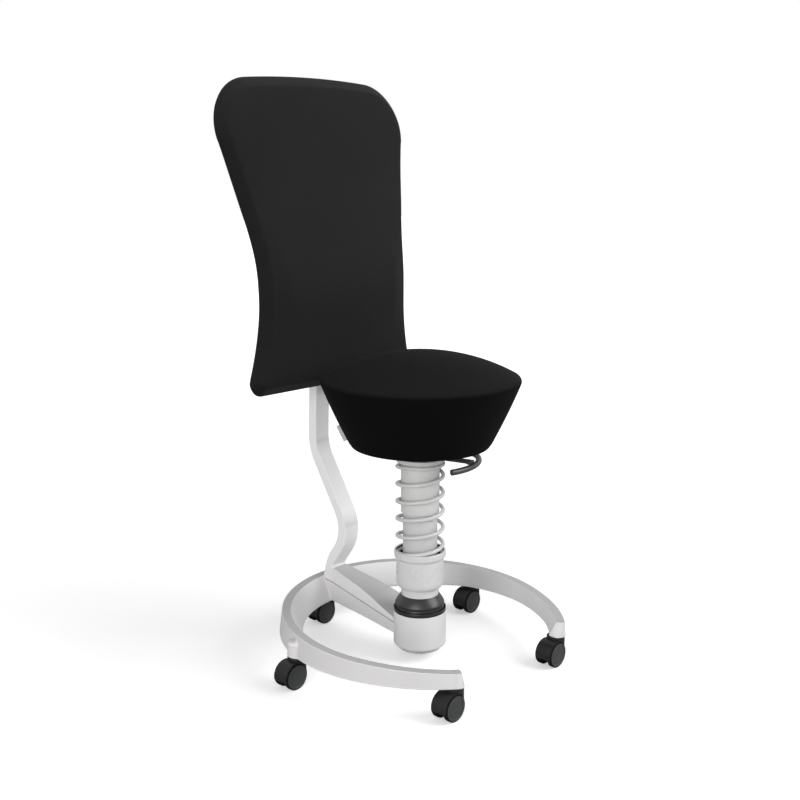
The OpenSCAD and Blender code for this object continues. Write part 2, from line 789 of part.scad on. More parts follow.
// Sides draw in towards the plate, the top is a crown of one radius
foot_r = seat_bottom_d / 2;
side_angle = atan2(seat_side_h, seat_r - foot_r);
rim_c = [seat_r - seat_rim_r, seat_rim_z];
side_low = [foot_r + 4, seat_bottom_z + 10];
side_high = rim_c + seat_rim_r * [cos(side_angle - 90), sin(side_angle - 90)];
module seat_cushion() {
    corner = 8;
    crown_r = (seat_r * seat_r + seat_crown * seat_crown) / (2 * seat_crown);
    crown_step = asin((seat_r - seat_rim_r) / crown_r) / 12;
    color(fabric_black) difference() {
        rotate_extrude() polygon(concat(
            [[0, seat_bottom_z]],
            [[foot_r - corner, seat_bottom_z], [foot_r - 2, seat_bottom_z + 3], side_low],
            [for (a = [side_angle - 90:15:75]) rim_c + seat_rim_r * [cos(a), sin(a)]],
            [for (i = [11:-1:0])
                [crown_r * sin(i * crown_step), seat_rim_z + seat_crown - crown_r * (1 - cos(i * crown_step))]]));
        disc(seat_plate_d / 2 + soft_gap, 0, seat_bottom_z + seat_plate_t + soft_gap);
    }
}

module label_tab() {
    mid_z = seat_bottom_z + 27;
    low = side_low;
    high = side_high;
    lean = atan2(high[0] - low[0], high[1] - low[1]);
    mid_r = low[0] + (mid_z - low[1]) * tan(lean);
    color([0.75, 0.75, 0.75]) rotate([0, 0, tab_azimuth]) translate([mid_r, 0, mid_z])
        rotate([0, lean, 0]) translate([soft_gap, -0.6, -tab_len / 2])
            cube([tab_reach, 1.2, tab_len]);
}

// Lever
module rod_piece(r, sweep) {
    rotate_extrude(angle = sweep) translate([r, 0]) circle(r = rod_d / 2);
}

module lever() {
    a_end = rod_tip_angle + rod_sweep;
    end_at = rod_centre + rod_curve_r * [cos(a_end), sin(a_end)];
    hook_at = end_at - hook_r * [cos(a_end), sin(a_end)];
    tail = hook_at + hook_r * [cos(a_end + hook_sweep), sin(a_end + hook_sweep)];
    tail_way = a_end + hook_sweep + 90;
    half_w = lever_arm_w / 2;
    color([0.25, 0.25, 0.26]) difference() {
        union() {
            translate([rod_centre[0], rod_centre[1], rod_z]) rotate([0, 0, rod_tip_angle])
                rod_piece(rod_curve_r, rod_sweep);
            translate([hook_at[0], hook_at[1], rod_z]) rotate([0, 0, a_end])
                rod_piece(hook_r, hook_sweep);
            translate([tail[0], tail[1], rod_z]) rotate([0, 90, tail_way])
                cylinder(r = rod_d / 2, h = 12);
            translate([0, 0, lever_arm_z]) linear_extrude(lever_arm_t)
                polygon([[-half_w, lever_step_y], [-half_w, -60], [5, -123], [26, -119],
                    [half_w, -60], [half_w, lever_step_y]]);
            translate([-half_w, lever_step_y, lever_arm_z])
                cube([lever_arm_w, lever_arm_t, lever_pin_z + lever_arm_t / 2 - lever_arm_z]);
            translate([-half_w, lever_step_y, lever_pin_z - lever_arm_t / 2])
                cube([lever_arm_w, lever_end_y - lever_step_y, lever_arm_t]);
            translate([-half_w, lever_pivot_y, lever_pin_z]) rotate([0, 90, 0])
                cylinder(r = lever_pin_d, h = lever_arm_w);
            intersection() {
                disc(rod_curve_r + 10, lever_arm_z - 3, lever_arm_z + eps);
                translate([8, -123, 0]) cube([14, 12, big * 2]);
            }
        }
        translate([-half_w - 1, lever_pivot_y, lever_pin_z]) rotate([0, 90, 0])
            cylinder(r = lever_pin_d / 2 + run_gap, h = lever_arm_w + 2);
    }
}

module lever_pin() {
    color(steel) translate([-lever_pin_len / 2, lever_pivot_y, lever_pin_z]) rotate([0, 90, 0])
        cylinder(r = lever_pin_d / 2, h = lever_pin_len);
}

// Arm
module bar_section() {
    span = arm_w / 2 - arm_corner_r;
    side = arm_t / 2 - arm_corner_r;
    polygon([for (q = [0:3]) for (a = [0:30:90])
        let (b = a + 90 * q)
        [(q == 0 || q == 3 ? span : -span) + arm_corner_r * cos(b),
         (q < 2 ? side : -side) + arm_corner_r * sin(b)]]);
}

module bar_straight(p, q) {
    way = q - p;
    translate([0, p[0], p[1]]) rotate([-atan2(way[0], way[1]), 0, 0])
        translate([0, 0, -lap]) linear_extrude(norm(way) + 2 * lap) bar_section();
}

function unit(v) = v / norm(v);
function turn(u, v) = atan2(u[0] * v[1] - u[1] * v[0], u * v);
function bend_run(u, v, r) = r * tan(abs(turn(u, v)) / 2);

module bar_bend(p, u, v, r) {
    swing = turn(u, v);
    start = p - bend_run(u, v, r) * u;
    centre = start + sign(swing) * r * [-u[1], u[0]];
    out = start - centre;
    first = atan2(out[0], -out[1]);
    translate([0, centre[0], centre[1]]) rotate([0, 90, 0])
        rotate([0, 0, swing > 0 ? first : first + swing])
            rotate_extrude(angle = abs(swing)) translate([r, 0]) rotate([0, 0, 90]) bar_section();
}

arm_head = [arm_top_y, arm_top_z];
way_low = unit(knee - arm_foot);
way_mid = unit(upper_corner - knee);
way_top = unit(arm_head - upper_corner);

module arm_foot_body() {
    rear = [[foot_end_y - 2.9, 125.3], [foot_end_y - 14.9, 146.2], [foot_end_y - 25.8, 141.2]];
    intersection() {
        side_plate(concat([for (p = part_line) p + [0, part_gap]], rear,
            [for (i = [5:-1:0]) foot_ridge[i]]), spoke_hub_w);
        spoke_plan(0.2);
    }
}

module backrest_arm() {
    color(white_paint) difference() {
        union() {
            arm_foot_body();
            bar_straight(arm_foot, knee - bend_run(way_low, way_mid, knee_r) * way_low);
            bar_bend(knee, way_low, way_mid, knee_r);
            bar_straight(knee + bend_run(way_low, way_mid, knee_r) * way_mid,
                upper_corner - bend_run(way_mid, way_top, bend_r) * way_mid);
            bar_bend(upper_corner, way_mid, way_top, bend_r);
            bar_straight(upper_corner + bend_run(way_mid, way_top, bend_r) * way_top, arm_head);
        }
        disc(hub_r + 0.4, 0, hub_top_z + 1);
        disc(recess_r + 6, hub_top_z, big);
        for (y = arm_bolt_ys) translate([0, y, 0]) disc(arm_bolt_d / 2 + run_gap, 0, bolt_top(y));
        for (z = bracket_screw_zs) for (side = [-1, 1]) bracket_screw_at(side, z)
            cylinder(r = bracket_screw_d / 2 + run_gap, h = 60);
    }
}
function bolt_top(y) = y < 150 ? 96.5 : 116.5;

module arm_bolts() {
    color(steel) for (y = arm_bolt_ys) translate([0, y, 0]) {
        disc(arm_bolt_d / 2, arm_bolt_seat_z - 1, bolt_top(y) - 1);
        disc(arm_bolt_head_d / 2, arm_bolt_seat_z - 6, arm_bolt_seat_z);
    }
}

// Backrest
bracket_low_z = 565;
bracket_high_z = 680;
bracket_w = 70;
bracket_screw_d = 6;
bracket_screw_x = 11;
bracket_screw_zs = [590, 655];
arm_face_tilt = atan2(way_top[0], way_top[1]);
function arm_face_y(z) =
    arm_head[0] + (z - arm_head[1]) * tan(arm_face_tilt) - arm_t / 2 / cos(arm_face_tilt);
back_low_z = shrunk([0, back_bottom_z], carrier_bevel)[1];
back_inner_z = back_mid_z - (back_mid_z - back_bottom_z) * ring_steps[1];
chord_bow = (rim_y(back_low_z) + rim_y(back_inner_z)) / 2 - rim_y((back_low_z + back_inner_z) / 2);
bracket_gap = soft_gap + chord_bow + 0.2;
function carrier_face_y(z) = rim_y(z) + carrier_t + bracket_gap;

// Screws run forward from the arm's back face, square to the bar
module bracket_screw_at(side, z) {
    translate([side * bracket_screw_x, arm_face_y(z) + arm_t + 2, z])
        rotate([90 - arm_face_tilt, 0, 0]) children();
}

module backrest_bracket() {
    color(plastic_black) difference() {
        side_plate([[carrier_face_y(bracket_low_z), bracket_low_z],
            [arm_face_y(bracket_low_z), bracket_low_z],
            [arm_face_y(bracket_high_z), bracket_high_z],
            [carrier_face_y(bracket_high_z), bracket_high_z]], bracket_w);
        for (z = bracket_screw_zs) for (side = [-1, 1]) bracket_screw_at(side, z)
            cylinder(r = bracket_screw_d / 2 + run_gap, h = 60);
    }
}

module backrest_screws() {
    reach = arm_t + 15;
    color(steel) for (z = bracket_screw_zs) for (side = [-1, 1]) bracket_screw_at(side, z) {
        cylinder(r = bracket_screw_d / 2, h = reach);
        translate([0, 0, -2]) cylinder(r = 5, h = 4 - run_gap);
    }
}

function rim_ring(d, depth) =
    [for (p = outline) let (q = shrunk(p, d)) [q[0], rim_y(q[1]) + depth, q[1]]];
function inner_ring(f, depth) = [for (p = outline)
    let (z = back_mid_z + (p[1] - back_mid_z) * f) [p[0] * f, rim_y(z) + depth, z]];

// Rings of a loft go round the rim's plane from the front face to the back face
module backrest_carrier() {
    front_gap = soft_gap + 0.7;
    color(plastic_black) loft([inner_ring(ring_steps[0], front_gap), inner_ring(ring_steps[1], front_gap),
        rim_ring(2, front_gap), rim_ring(0.5, 4), rim_ring(carrier_bevel, carrier_t),
        inner_ring(ring_steps[1], carrier_t), inner_ring(ring_steps[0], carrier_t)]);
}

module backrest_cushion() {
    function face_ring(f, fill) = [for (p = outline)
        let (x = p[0] * inset_x(pad_bevel) * f)
        let (z = back_mid_z + (p[1] - back_mid_z) * inset_z(pad_bevel) * f)
        [x, rim_y(z) - pad_depth(z, fill), z]];
    color(fabric_black) loft([face_ring(0.15, 1), face_ring(0.45, 0.9), face_ring(0.75, 0.7),
        face_ring(0.94, 0.4), face_ring(1, 0.2), rim_ring(3, -8), rim_ring(0, -1.5),
        rim_ring(1.5, 0), inner_ring(ring_steps[1], 0), inner_ring(ring_steps[0], 0)]);
}

// Castors
module castor_housing(k) {
    color(plastic_black) {
        difference() {
            union() {
                at_castor(k) disc(housing_block_r, wheel_r, housing_top_z);
                at_axle(k) translate([0, 0, -hood_half_w]) cylinder(r = hood_r, h = 2 * hood_half_w);
            }
            for (side = [-1, 1]) at_axle(k)
                translate([0, 0, side > 0 ? wheel_gap / 2 - 0.6 : -wheel_gap / 2 - wheel_w - 8])
                    cylinder(r = wheel_r + wheel_clear, h = wheel_w + 8.6);
            at_axle(k) cylinder(r = axle_d / 2, h = big, center = true);
            at_castor(k) translate([-big / 2, -big / 2, -big + hood_foot_z]) cube([big, big, big]);
        }
        at_castor(k) disc(stem_d / 2, housing_top_z - eps, boss_bottom_z + stem_len - stem_gap);
    }
}

module castor_axle(k) {
    color(steel) at_axle(k)
        cylinder(r = axle_d / 2, h = 2 * (wheel_gap / 2 + wheel_w - 4), center = true);
}

// Wheel with a rounded outer shoulder and a shallow dished face
module castor_wheel(k, side) {
    outer = wheel_gap / 2 + wheel_w;
    color(plastic_black) at_axle(k) mirror([0, 0, side > 0 ? 0 : 1]) difference() {
        rotate_extrude() polygon([[0, wheel_gap / 2], [wheel_r - 0.8, wheel_gap / 2],
            [wheel_r, wheel_gap / 2 + 0.8], [wheel_r, outer - 2.5], [wheel_r - 0.8, outer - 0.8],
            [wheel_r - 2.5, outer], [wheel_r - 6, outer], [wheel_r - 7, outer - 1], [0, outer - 1]]);
        translate([0, 0, -1]) cylinder(r = axle_d / 2 + run_gap, h = outer - 3);
    }
}

foot_ring();
hub_carrier();
end_plate();
end_plate_screws();
castor_sockets();
boot_ring();
bearing_cup();
tilt_buffer();
bearing_ring();
pivot_post();
dome_boot();
neck();
collar();
lower_tube();
guide_bush();
upper_tube();
spring_plate();
bounce_spring();
stand_tube();
stand_bush();
piston_rod();
gas_cylinder();
release_pin();
seat_bracket();
seat_plate();
seat_screws();
seat_cushion();
label_tab();
lever();
lever_pin();
backrest_arm();
arm_bolts();
backrest_bracket();
backrest_carrier();
backrest_cushion();
backrest_screws();
for (k = [1:5]) {
    castor_housing(k);
    castor_axle(k);
    castor_wheel(k, 1);
    castor_wheel(k, -1);
}
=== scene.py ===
import math

import bmesh
import bpy
import numpy as np
from mathutils import Matrix, Vector


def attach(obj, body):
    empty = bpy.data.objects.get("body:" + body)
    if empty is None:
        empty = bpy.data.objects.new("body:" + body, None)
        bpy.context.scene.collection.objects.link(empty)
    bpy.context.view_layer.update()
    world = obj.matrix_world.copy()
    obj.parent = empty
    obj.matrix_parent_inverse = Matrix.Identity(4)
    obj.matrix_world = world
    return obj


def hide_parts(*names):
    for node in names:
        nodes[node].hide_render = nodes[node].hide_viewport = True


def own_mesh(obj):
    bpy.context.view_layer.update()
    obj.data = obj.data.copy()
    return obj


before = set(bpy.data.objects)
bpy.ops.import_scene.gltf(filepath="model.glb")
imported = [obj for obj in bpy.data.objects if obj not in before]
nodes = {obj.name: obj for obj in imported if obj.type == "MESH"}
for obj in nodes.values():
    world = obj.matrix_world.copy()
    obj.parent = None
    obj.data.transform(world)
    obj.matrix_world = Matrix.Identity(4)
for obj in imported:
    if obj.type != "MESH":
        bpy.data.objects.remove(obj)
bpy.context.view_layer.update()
scene = bpy.context.scene
MM = 0.001


def on_circle(r, deg):
    """Point at radius r round the column, deg from the front (-y) towards +x."""
    a = math.radians(deg)
    return np.array([r * math.sin(a), -r * math.cos(a), 0.0])


# ---------------------------------------------------------------- sizes in mm
# The column stands on x = y = 0, the floor is z = 0 and the stool faces -y.
CASTOR_R, FRONT_CASTOR_R = 280.0, 279.0
CASTORS = {
    "castor_left": on_circle(CASTOR_R, -107),
    "castor_front_left": on_circle(FRONT_CASTOR_R, -35),
    "castor_front_right": on_circle(FRONT_CASTOR_R, 35),
    "castor_right": on_circle(CASTOR_R, 107),
    "castor_rear": on_circle(CASTOR_R, 180)}
WHEEL_R, TRAIL, WELL_R = 26.0, 17.0, 26.9

# Foot ring: pairs are outer and inner radius, angles are degrees from the front
RING_TOP_Z, RING_LOW_Z, RING_TILT = 101.3, 60.0, math.radians(2.62)
RING_TOP, RING_BOTTOM = (282.5, 264.4), (288.5, 256.0)
RING_START, RING_STOP = 35.0, 325.0
BASE_WIDER, WIDER_FROM, WIDER_SPAN = 17.5, 104, 30.0
FLARE_FROM, FLARE_SPAN, FLARE_BY = 68, 33.0, (14, 10.5, 8, 14)
BOSS_ANGLES = (107, 180, 253)
BOSS_R, SHOULDER_R, SHOULDER_Z, BOSS_CAP = 19.0, 17.0, 84.0, 11.5
BOSS_SPAN, BOSS_BLEND = 0.075, 5.0  # the span in radians

HUB_R, HUB_BOTTOM, HUB_TOP = 53.9, 27.0, 100.4
HUB_FOOT_R, HUB_FOOT_ROUND = 48.6, 6.5
PIVOT_Z, DOME_R, NECK_R = 97.4, 51.2, 38.4

# Spoke: (y, z) along the parting line, the underside, and the arm foot's ridge and heel
PART_LINE = [(30, 75.7), (137.3, 90.7), (264.7, 109.2), (290, 112.9)]
SPOKE_UNDER = [(30, 51.1), (137.3, 57), (270, 61.5), (290, 62.2)]
FOOT_RIDGE = [(29, 79.4), (60.7, 88.8), (92.6, 99.8), (119.4, 109.8), (150.3, 118.2),
              (234.9, 135.7)]
FOOT_HEEL = [(234.9, 135.7), (246, 133.0), (256, 123.0), (262, 113.5), (265, 111.5)]
ROOT_Y, ROOT_W, TAPER_LENGTH, SPOKE_END_W, FOOT_END_W = 29.0, 46.0, 206.0, 23.5, 23.7
FOOT_NEAR_R, FOOT_FAR_Y, FOOT_GAP = 54.4, 263.2, 0.5

SPRING_R, SPRING_WIRE_R, SPRING_TURNS, SPRING_FLAT = 46.4, 4.0, 6.6, 0.68
SPRING_LOW, SPRING_HIGH, SPRING_START = 221.0, 410.5, 222

SEAT_R, SEAT_RIM_Z, SEAT_CROWN, SEAT_ROUND = 199.5, 580.5, 57.0, 9.0
SEAT_FOOT_R, SEAT_FOOT_Z = 144.0, 457.5
TAB_AZIMUTH, TAB_Z, TAB_HALF = 133, 474.5, 17.4

LEVER_ROD_Z, LEVER_ROD_R, LEVER_PIN = 423.0, 6.0, (0, -30.0, 441.0)
BAR_HALF_W, BAR_FRONT, BAR_REAR, BAR_CORNER = 20.5, 11, 12.6, 3.8

BACK_LOW, BACK_HIGH = 542.0, 1172.0
WAIST_Z, WAIST_W, WAIST_FLAT = 751.0, 206.5, 15
LOW_HOLLOW_R, HIGH_HOLLOW_R, FLARE = 630, 550, math.radians(13)
FLARE_Z = WAIST_Z + WAIST_FLAT + HIGH_HOLLOW_R * math.sin(FLARE)
SPINE_END, SPINE_SHARE = 150, 0.985


# ---------------------------------------------------------------- shape helpers
def unit(v):
    return np.asarray(v, float) / np.linalg.norm(v)


def arc(cx, cy, angles, rx, ry=None):
    """Points of an arc, or of an ellipse's arc, at the angles given in radians."""
    ry = rx if ry is None else ry
    return [(cx + rx * math.cos(a), cy + ry * math.sin(a)) for a in angles]


def smooth_max(a, b, k):
    h = min(1.0, max(0.0, 0.5 + 0.5 * (a - b) / k))
    return b + (a - b) * h + k * h * (1 - h)


def smoothstep(x):
    x = min(1.0, max(0.0, x))
    return x * x * (3 - 2 * x)


def bell(x, middle, width):
    return math.exp(-((x - middle) / width) ** 2)


def interp(points, y):
    return float(np.interp(y, [p[0] for p in points], [p[1] for p in points]))


def fillet(points, radii, closed=False, steps=5):
    """Polyline with its corners rounded; every rounded corner gives steps + 1 points."""
    pts = [np.array(p, float) for p in points]
    n = len(pts)
    out = []
    for i, p in enumerate(pts):
        r = radii[i] if hasattr(radii, "__len__") else radii
        if (not closed and i in (0, n - 1)) or r <= 0:
            out.append(p)
            continue
        a, b = pts[i - 1] - p, pts[(i + 1) % n] - p
        la, lb = np.linalg.norm(a), np.linalg.norm(b)
        a, b = a / la, b / lb
        ang = math.acos(float(np.clip(a @ b, -1, 1)))
        if math.pi - ang < 0.01:
            t = min(r, 0.4 * la, 0.4 * lb)
            for k in range(steps + 1):
                f = 2.0 * k / steps - 1
                out.append(p + (a * -f if f < 0 else b * f) * t)
            continue
        t = min(r / math.tan(ang / 2), 0.48 * la, 0.48 * lb)
        c = p + unit(a + b) * t * math.tan(ang / 2) / math.sin(ang / 2)
        v0, v1 = p + a * t - c, p + b * t - c
        sweep = math.pi - ang
        for k in range(steps + 1):
            f = k / steps
            v = math.sin((1 - f) * sweep) * v0 + math.sin(f * sweep) * v1
            out.append(c + v / math.sin(sweep))
    return np.array(out)


class Shape:
    """Collects points in mm and faces from several lofts and lathes into one mesh."""

    def __init__(self):
        self.points, self.faces = [], []

    def skin(self, rings):
        """Joins rings of equal length; gives the place of the first and of the last ring."""
        first, n = len(self.points), len(rings[0])
        for ring in rings:
            self.points.extend([tuple(float(c) for c in p) for p in ring])
        for r in range(len(rings) - 1):
            a, b = first + r * n, first + (r + 1) * n
            self.faces.extend((a + c, a + (c + 1) % n, b + (c + 1) % n, b + c)
                              for c in range(n))
        return first, first + (len(rings) - 1) * n

    def loft(self, rings, caps=True):
        first, last = self.skin(rings)
        n = len(rings[0])
        if caps:
            self.faces.append(tuple(range(first, first + n)))
            self.faces.append(tuple(range(last + n - 1, last - 1, -1)))
        return self

    def loft_to_line(self, rings):
        """The last ring is nearly a line: it is stitched across from side to side."""
        last, n = self.skin(rings)[1], len(rings[0])
        for i in range(1, n // 2):
            a, b = last + i, last + i + 1
            c, d = last + (n - i - 1) % n, last + (n - i) % n
            self.faces.append((a, b, d) if b == c else (a, b, c, d))
        self.faces.append((last, last + 1, last + n - 1))
        return self

    def lathe(self, profile, segments=96, closed=False, axes=None, sweep=None):
        """Turns [(r, z)] about z, or about axes = (origin, x, y, axis), fully or by a sweep."""
        o, ex, ey, ez = axes or (np.zeros(3), *np.eye(3))

        def at(r, z, a):
            return o + r * (math.cos(a) * ex + math.sin(a) * ey) + z * ez
        if sweep:
            return self.loft([[at(r, z, a) for r, z in profile]
                              for a in np.linspace(*sweep, segments + 1)])
        turn = [2 * math.pi * i / segments for i in range(segments)]
        profile = list(profile) + ([profile[0]] if closed else [])
        return self.loft([[at(max(r, 0.0), z, a) for a in turn] for r, z in profile],
                         caps=False)

    def tube(self, path, radius, sides=20, up=(0, 0, 1), end_round=0.8):
        """Round bar along a path, with its two ends eased by end_round."""
        path = np.array(path, float)
        radii = np.full(len(path), radius)
        quarter = np.linspace(0, math.pi / 2, 5)
        for way in (1, -1):
            p = path[::way]
            d = unit(p[1] - p[0])
            extra = [p[0] + d * end_round * (1 - math.cos(t)) for t in quarter]
            eased = [radius - end_round * (1 - math.sin(t)) for t in quarter]
            path = np.vstack([extra, p[1:]])[::way]
            radii = np.concatenate([eased, radii[::way][1:]])[::way]
        up = np.array(up, float)
        rings = []
        for i, p in enumerate(path):
            d = unit(path[min(i + 1, len(path) - 1)] - path[max(i - 1, 0)])
            side = unit(np.cross(up, d))
            top = np.cross(d, side)
            rings.append([p + radii[i] * (math.cos(a) * side + math.sin(a) * top)
                          for a in np.linspace(0, 2 * math.pi, sides, endpoint=False)])
        return self.loft(rings)

    def prism(self, outline, heights):
        return self.loft([[(x, y, z) for x, y in outline] for z in heights])

    def slab(self, outline, z0, z1, edge):
        """Flat plate from an [x, y] outline, with eased edges."""
        outline = np.array(outline, float)
        nxt, prv = np.roll(outline, -1, 0), np.roll(outline, 1, 0)
        d = nxt - prv
        nrm = np.stack([d[:, 1], -d[:, 0]], 1)
        nrm /= np.maximum(np.linalg.norm(nrm, axis=1, keepdims=True), 1e-9)
        if np.sum(outline[:, 0] * nxt[:, 1] - nxt[:, 0] * outline[:, 1]) < 0:
            nrm = -nrm
        rings = []
        quarter = np.linspace(0, math.pi / 2, 4)
        for z, way, stops in ((z0, 1, quarter), (z1, -1, quarter[::-1])):
            for s in stops:
                inset_by, lift = edge * (1 - math.sin(s)), edge * (1 - math.cos(s))
                rings.append([(x, y, z + way * lift) for x, y in outline - nrm * inset_by])
        return self.loft(rings)

    def moved(self, by):
        self.points = [tuple(a + b for a, b in zip(p, by)) for p in self.points]
        return self

    def build(self, name, mat, body, *replaces, sharp=38, weighted=True, slot=None):
        """Makes the object with the material; the slot argument is not used."""
        slot = slot or mat
        mesh = bpy.data.meshes.new(name)
        mesh.from_pydata([(x * MM, y * MM, z * MM) for x, y, z in self.points], [], self.faces)
        bm = bmesh.new()
        bm.from_mesh(mesh)
        bmesh.ops.remove_doubles(bm, verts=bm.verts, dist=2e-6)
        bmesh.ops.recalc_face_normals(bm, faces=bm.faces)
        bm.to_mesh(mesh)
        bm.free()
        mesh.validate()
        mesh.shade_smooth()
        mesh.set_sharp_from_angle(angle=math.radians(sharp))
        mesh.materials.append(M[mat])
        obj = bpy.data.objects.new(name, mesh)
        scene.collection.objects.link(obj)
        if weighted:
            m = obj.modifiers.new("even_normals", "WEIGHTED_NORMAL")
            m.keep_sharp = True
            m.weight = 60
        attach(obj, body)
        if replaces:
            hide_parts(*replaces)
        return obj


def recolour(obj, mat, where):
    """Gives a second material to the faces whose middle, in mm, where() picks."""
    obj.data.materials.append(M[mat])
    for poly in obj.data.polygons:
        if where(*(c / MM for c in poly.center)):
            poly.material_index = 1


# ---------------------------------------------------------------- materials
M = {}
# Painted light and shade by slope for the paints: factors on the colour by how far a face turns
# up; the last stop, for tops, is added by painted()
PAINT_LIGHT_SHADE_STOPS = [(-0.3, 1.06), (0.05, 1.05), (0.14, 0.90), (0.24, 1.04), (0.5, 1.18), (0.72, 1.04)]
WEAVE_ANGLES, WEAVE_DEPTH = (45, -45), 0.00022
WAVE_PITCH = 0.31416  # m between the bands of a wave texture at scale 1


def new_material(name):
    M[name] = bpy.data.materials.new(name)
    M[name].use_nodes = True
    nt = M[name].node_tree
    return nt, nt.nodes["Principled BSDF"]


def feed(nt, n, inputs):
    """Sets each input of a shader node to a constant, or links the socket given for it."""
    for key, value in inputs.items():
        if isinstance(value, bpy.types.NodeSocket):
            nt.links.new(value, n.inputs[key])
        else:
            n.inputs[key].default_value = value


def add(nt, kind, inputs, **settings):
    n = nt.nodes.new("ShaderNode" + kind)
    for key, value in settings.items():
        setattr(n, key, value)
    feed(nt, n, inputs)
    return n


def texture_space(nt, which="Object"):
    return nt.nodes.new("ShaderNodeTexCoord").outputs[which]


def coords(nt, scale=(1, 1, 1)):
    mapping = add(nt, "Mapping", {"Vector": texture_space(nt), "Scale": scale})
    return mapping.outputs["Vector"]


def noise(nt, vec, scale, detail=3.0, rough=0.5):
    return add(nt, "TexNoise", {"Scale": scale, "Detail": detail, "Roughness": rough,
                                "Vector": vec}).outputs["Fac"]


def ramp(nt, fac, stops):
    r = add(nt, "ValToRGB", {"Fac": fac})
    el = r.color_ramp.elements
    while len(el) < len(stops):
        el.new(0.5)
    for e, (pos, col) in zip(el, stops):
        e.position = pos
        e.color = (*col, 1) if hasattr(col, "__len__") else (col, col, col, 1)
    return r.outputs["Color"]


def maths(nt, op, *values):
    return add(nt, "Math", dict(enumerate(values)), operation=op).outputs[0]


def bump(nt, height, strength, distance, bsdf):
    b = add(nt, "Bump", {"Strength": strength, "Distance": distance, "Height": height})
    feed(nt, bsdf, {"Normal": b.outputs["Normal"]})


def tinted(col, f):
    return tuple(min(1.0, c * f) for c in col)


def painted_light_by_slope(nt, colour, stops):
    """Scales a colour by how far the surface faces up, from -1 to 1: painted light and painted
    shade by slope.
    """
    normal_z = add(nt, "SeparateXYZ", {0: texture_space(nt, "Normal")}).outputs["Z"]
    lifted = maths(nt, "ADD", maths(nt, "MULTIPLY", normal_z, 0.5), 0.5)
    slope = ramp(nt, lifted, [((z + 1) / 2, value) for z, value in stops])
    return add(nt, "MixRGB", {"Fac": 1.0, "Color1": colour, "Color2": slope},
               blend_type="MULTIPLY").outputs["Color"]


def painted(name, col, rough, grain=700, grain_depth=0.00001, coat=0.0, spread=0.012,
            spec=0.5, top=1.0):
    """Powder coat or smooth lacquer: fine orange peel, faint clouding and uneven gloss. With top
    given, the colour is also scaled by slope: painted shade on tops and on faces tilted slightly
    up, painted light on upright walls and most on faces tilted about half way up.
    """
    nt, b = new_material(name)
    v = coords(nt)
    colour = ramp(nt, noise(nt, v, 6.0, 2.0),
                  [(0.3, tinted(col, 1 - spread)), (0.7, tinted(col, 1 + spread))])
    if top != 1.0:
        colour = painted_light_by_slope(nt, colour, PAINT_LIGHT_SHADE_STOPS + [(0.96, top)])
    gloss = ramp(nt, noise(nt, v, 26.0, 2.0), [(0.3, rough - 0.015), (0.7, rough + 0.02)])
    feed(nt, b, {"Base Color": colour, "Roughness": gloss, "Specular IOR Level": spec})
    if coat:
        feed(nt, b, {"Coat Weight": coat, "Coat Roughness": 0.12})
    bump(nt, noise(nt, v, grain, 2.0), 0.35, grain_depth, b)


def moulded(name, col, rough, spec=0.3, depth=0.00004):
    """Black moulded plastic or rubber: spark-eroded grain and soft flow clouding."""
    nt, b = new_material(name)
    v = coords(nt)
    feed(nt, b, {
        "Base Color": ramp(nt, noise(nt, v, 24.0, 4.0),
                           [(0.3, tinted(col, 0.86)), (0.7, tinted(col, 1.15))]),
        "Roughness": ramp(nt, noise(nt, v, 160.0, 3.0),
                          [(0.3, rough - 0.05), (0.7, rough + 0.06)]),
        "Specular IOR Level": spec})
    grain = add(nt, "TexVoronoi", {"Scale": 1500, "Vector": v})
    bump(nt, grain.outputs["Distance"], 0.35, depth, b)


def metal(name, col, rough, lines):
    """Bare metal with fine turning or drawing lines along z."""
    nt, b = new_material(name)
    n = noise(nt, coords(nt, (900, 900, 30)), 1.0, 3.0)
    feed(nt, b, {
        "Base Color": ramp(nt, n, [(0.3, tinted(col, 0.9)), (0.7, tinted(col, 1.08))]),
        "Roughness": ramp(nt, n, [(0.3, max(0.04, rough - 0.06)), (0.7, rough + 0.08)]),
        "Metallic": 1.0})
    bump(nt, n, lines, 0.00002, b)


def woven(name, col, light, sheen, pitch=1.3, slope=(1.0, 1.0), spec=0.12):
    """Upholstery weave: two crossing thread sets at a slant, fuzz, and slow shade drift. Its
    slope pair scales the colour on faces turned down and on faces turned up: painted shade
    below, painted light on top.
    """
    nt, b = new_material(name)
    space = texture_space(nt)
    threads = []
    for turn in WEAVE_ANGLES:
        slant = tuple(math.radians(a) for a in (8, turn, 6))
        mapping = add(nt, "Mapping", {"Rotation": slant, "Vector": space})
        wave = add(nt, "TexWave", {
            "Scale": WAVE_PITCH / (pitch * MM), "Distortion": 1.4, "Detail": 2.0,
            "Detail Scale": 3.0, "Vector": mapping.outputs["Vector"]},
            wave_type="BANDS", bands_direction="X", wave_profile="SIN")
        threads.append(wave.outputs["Fac"])
    weave = maths(nt, "MULTIPLY", *threads)
    fuzz = noise(nt, space, 1800.0, 3.0, 0.6)
    slow = noise(nt, space, 7.0, 3.0)
    mixed = maths(nt, "ADD", maths(nt, "MULTIPLY", weave, 0.65),
                  maths(nt, "MULTIPLY", fuzz, 0.35))
    drift = maths(nt, "ADD", maths(nt, "MULTIPLY", mixed, 0.8),
                  maths(nt, "MULTIPLY", slow, 0.25))
    colour = ramp(nt, drift, [(0.15, col), (0.75, light)])
    feed(nt, b, {
        "Base Color": painted_light_by_slope(nt, colour, [(-0.6, slope[0]), (0.0, 1.0), (0.85, slope[1])]),
        "Roughness": 0.9, "Specular IOR Level": spec, "Sheen Weight": sheen,
        "Sheen Roughness": 0.45, "Sheen Tint": (0.75, 0.75, 0.75, 1)})
    bump(nt, mixed, 0.7, WEAVE_DEPTH, b)


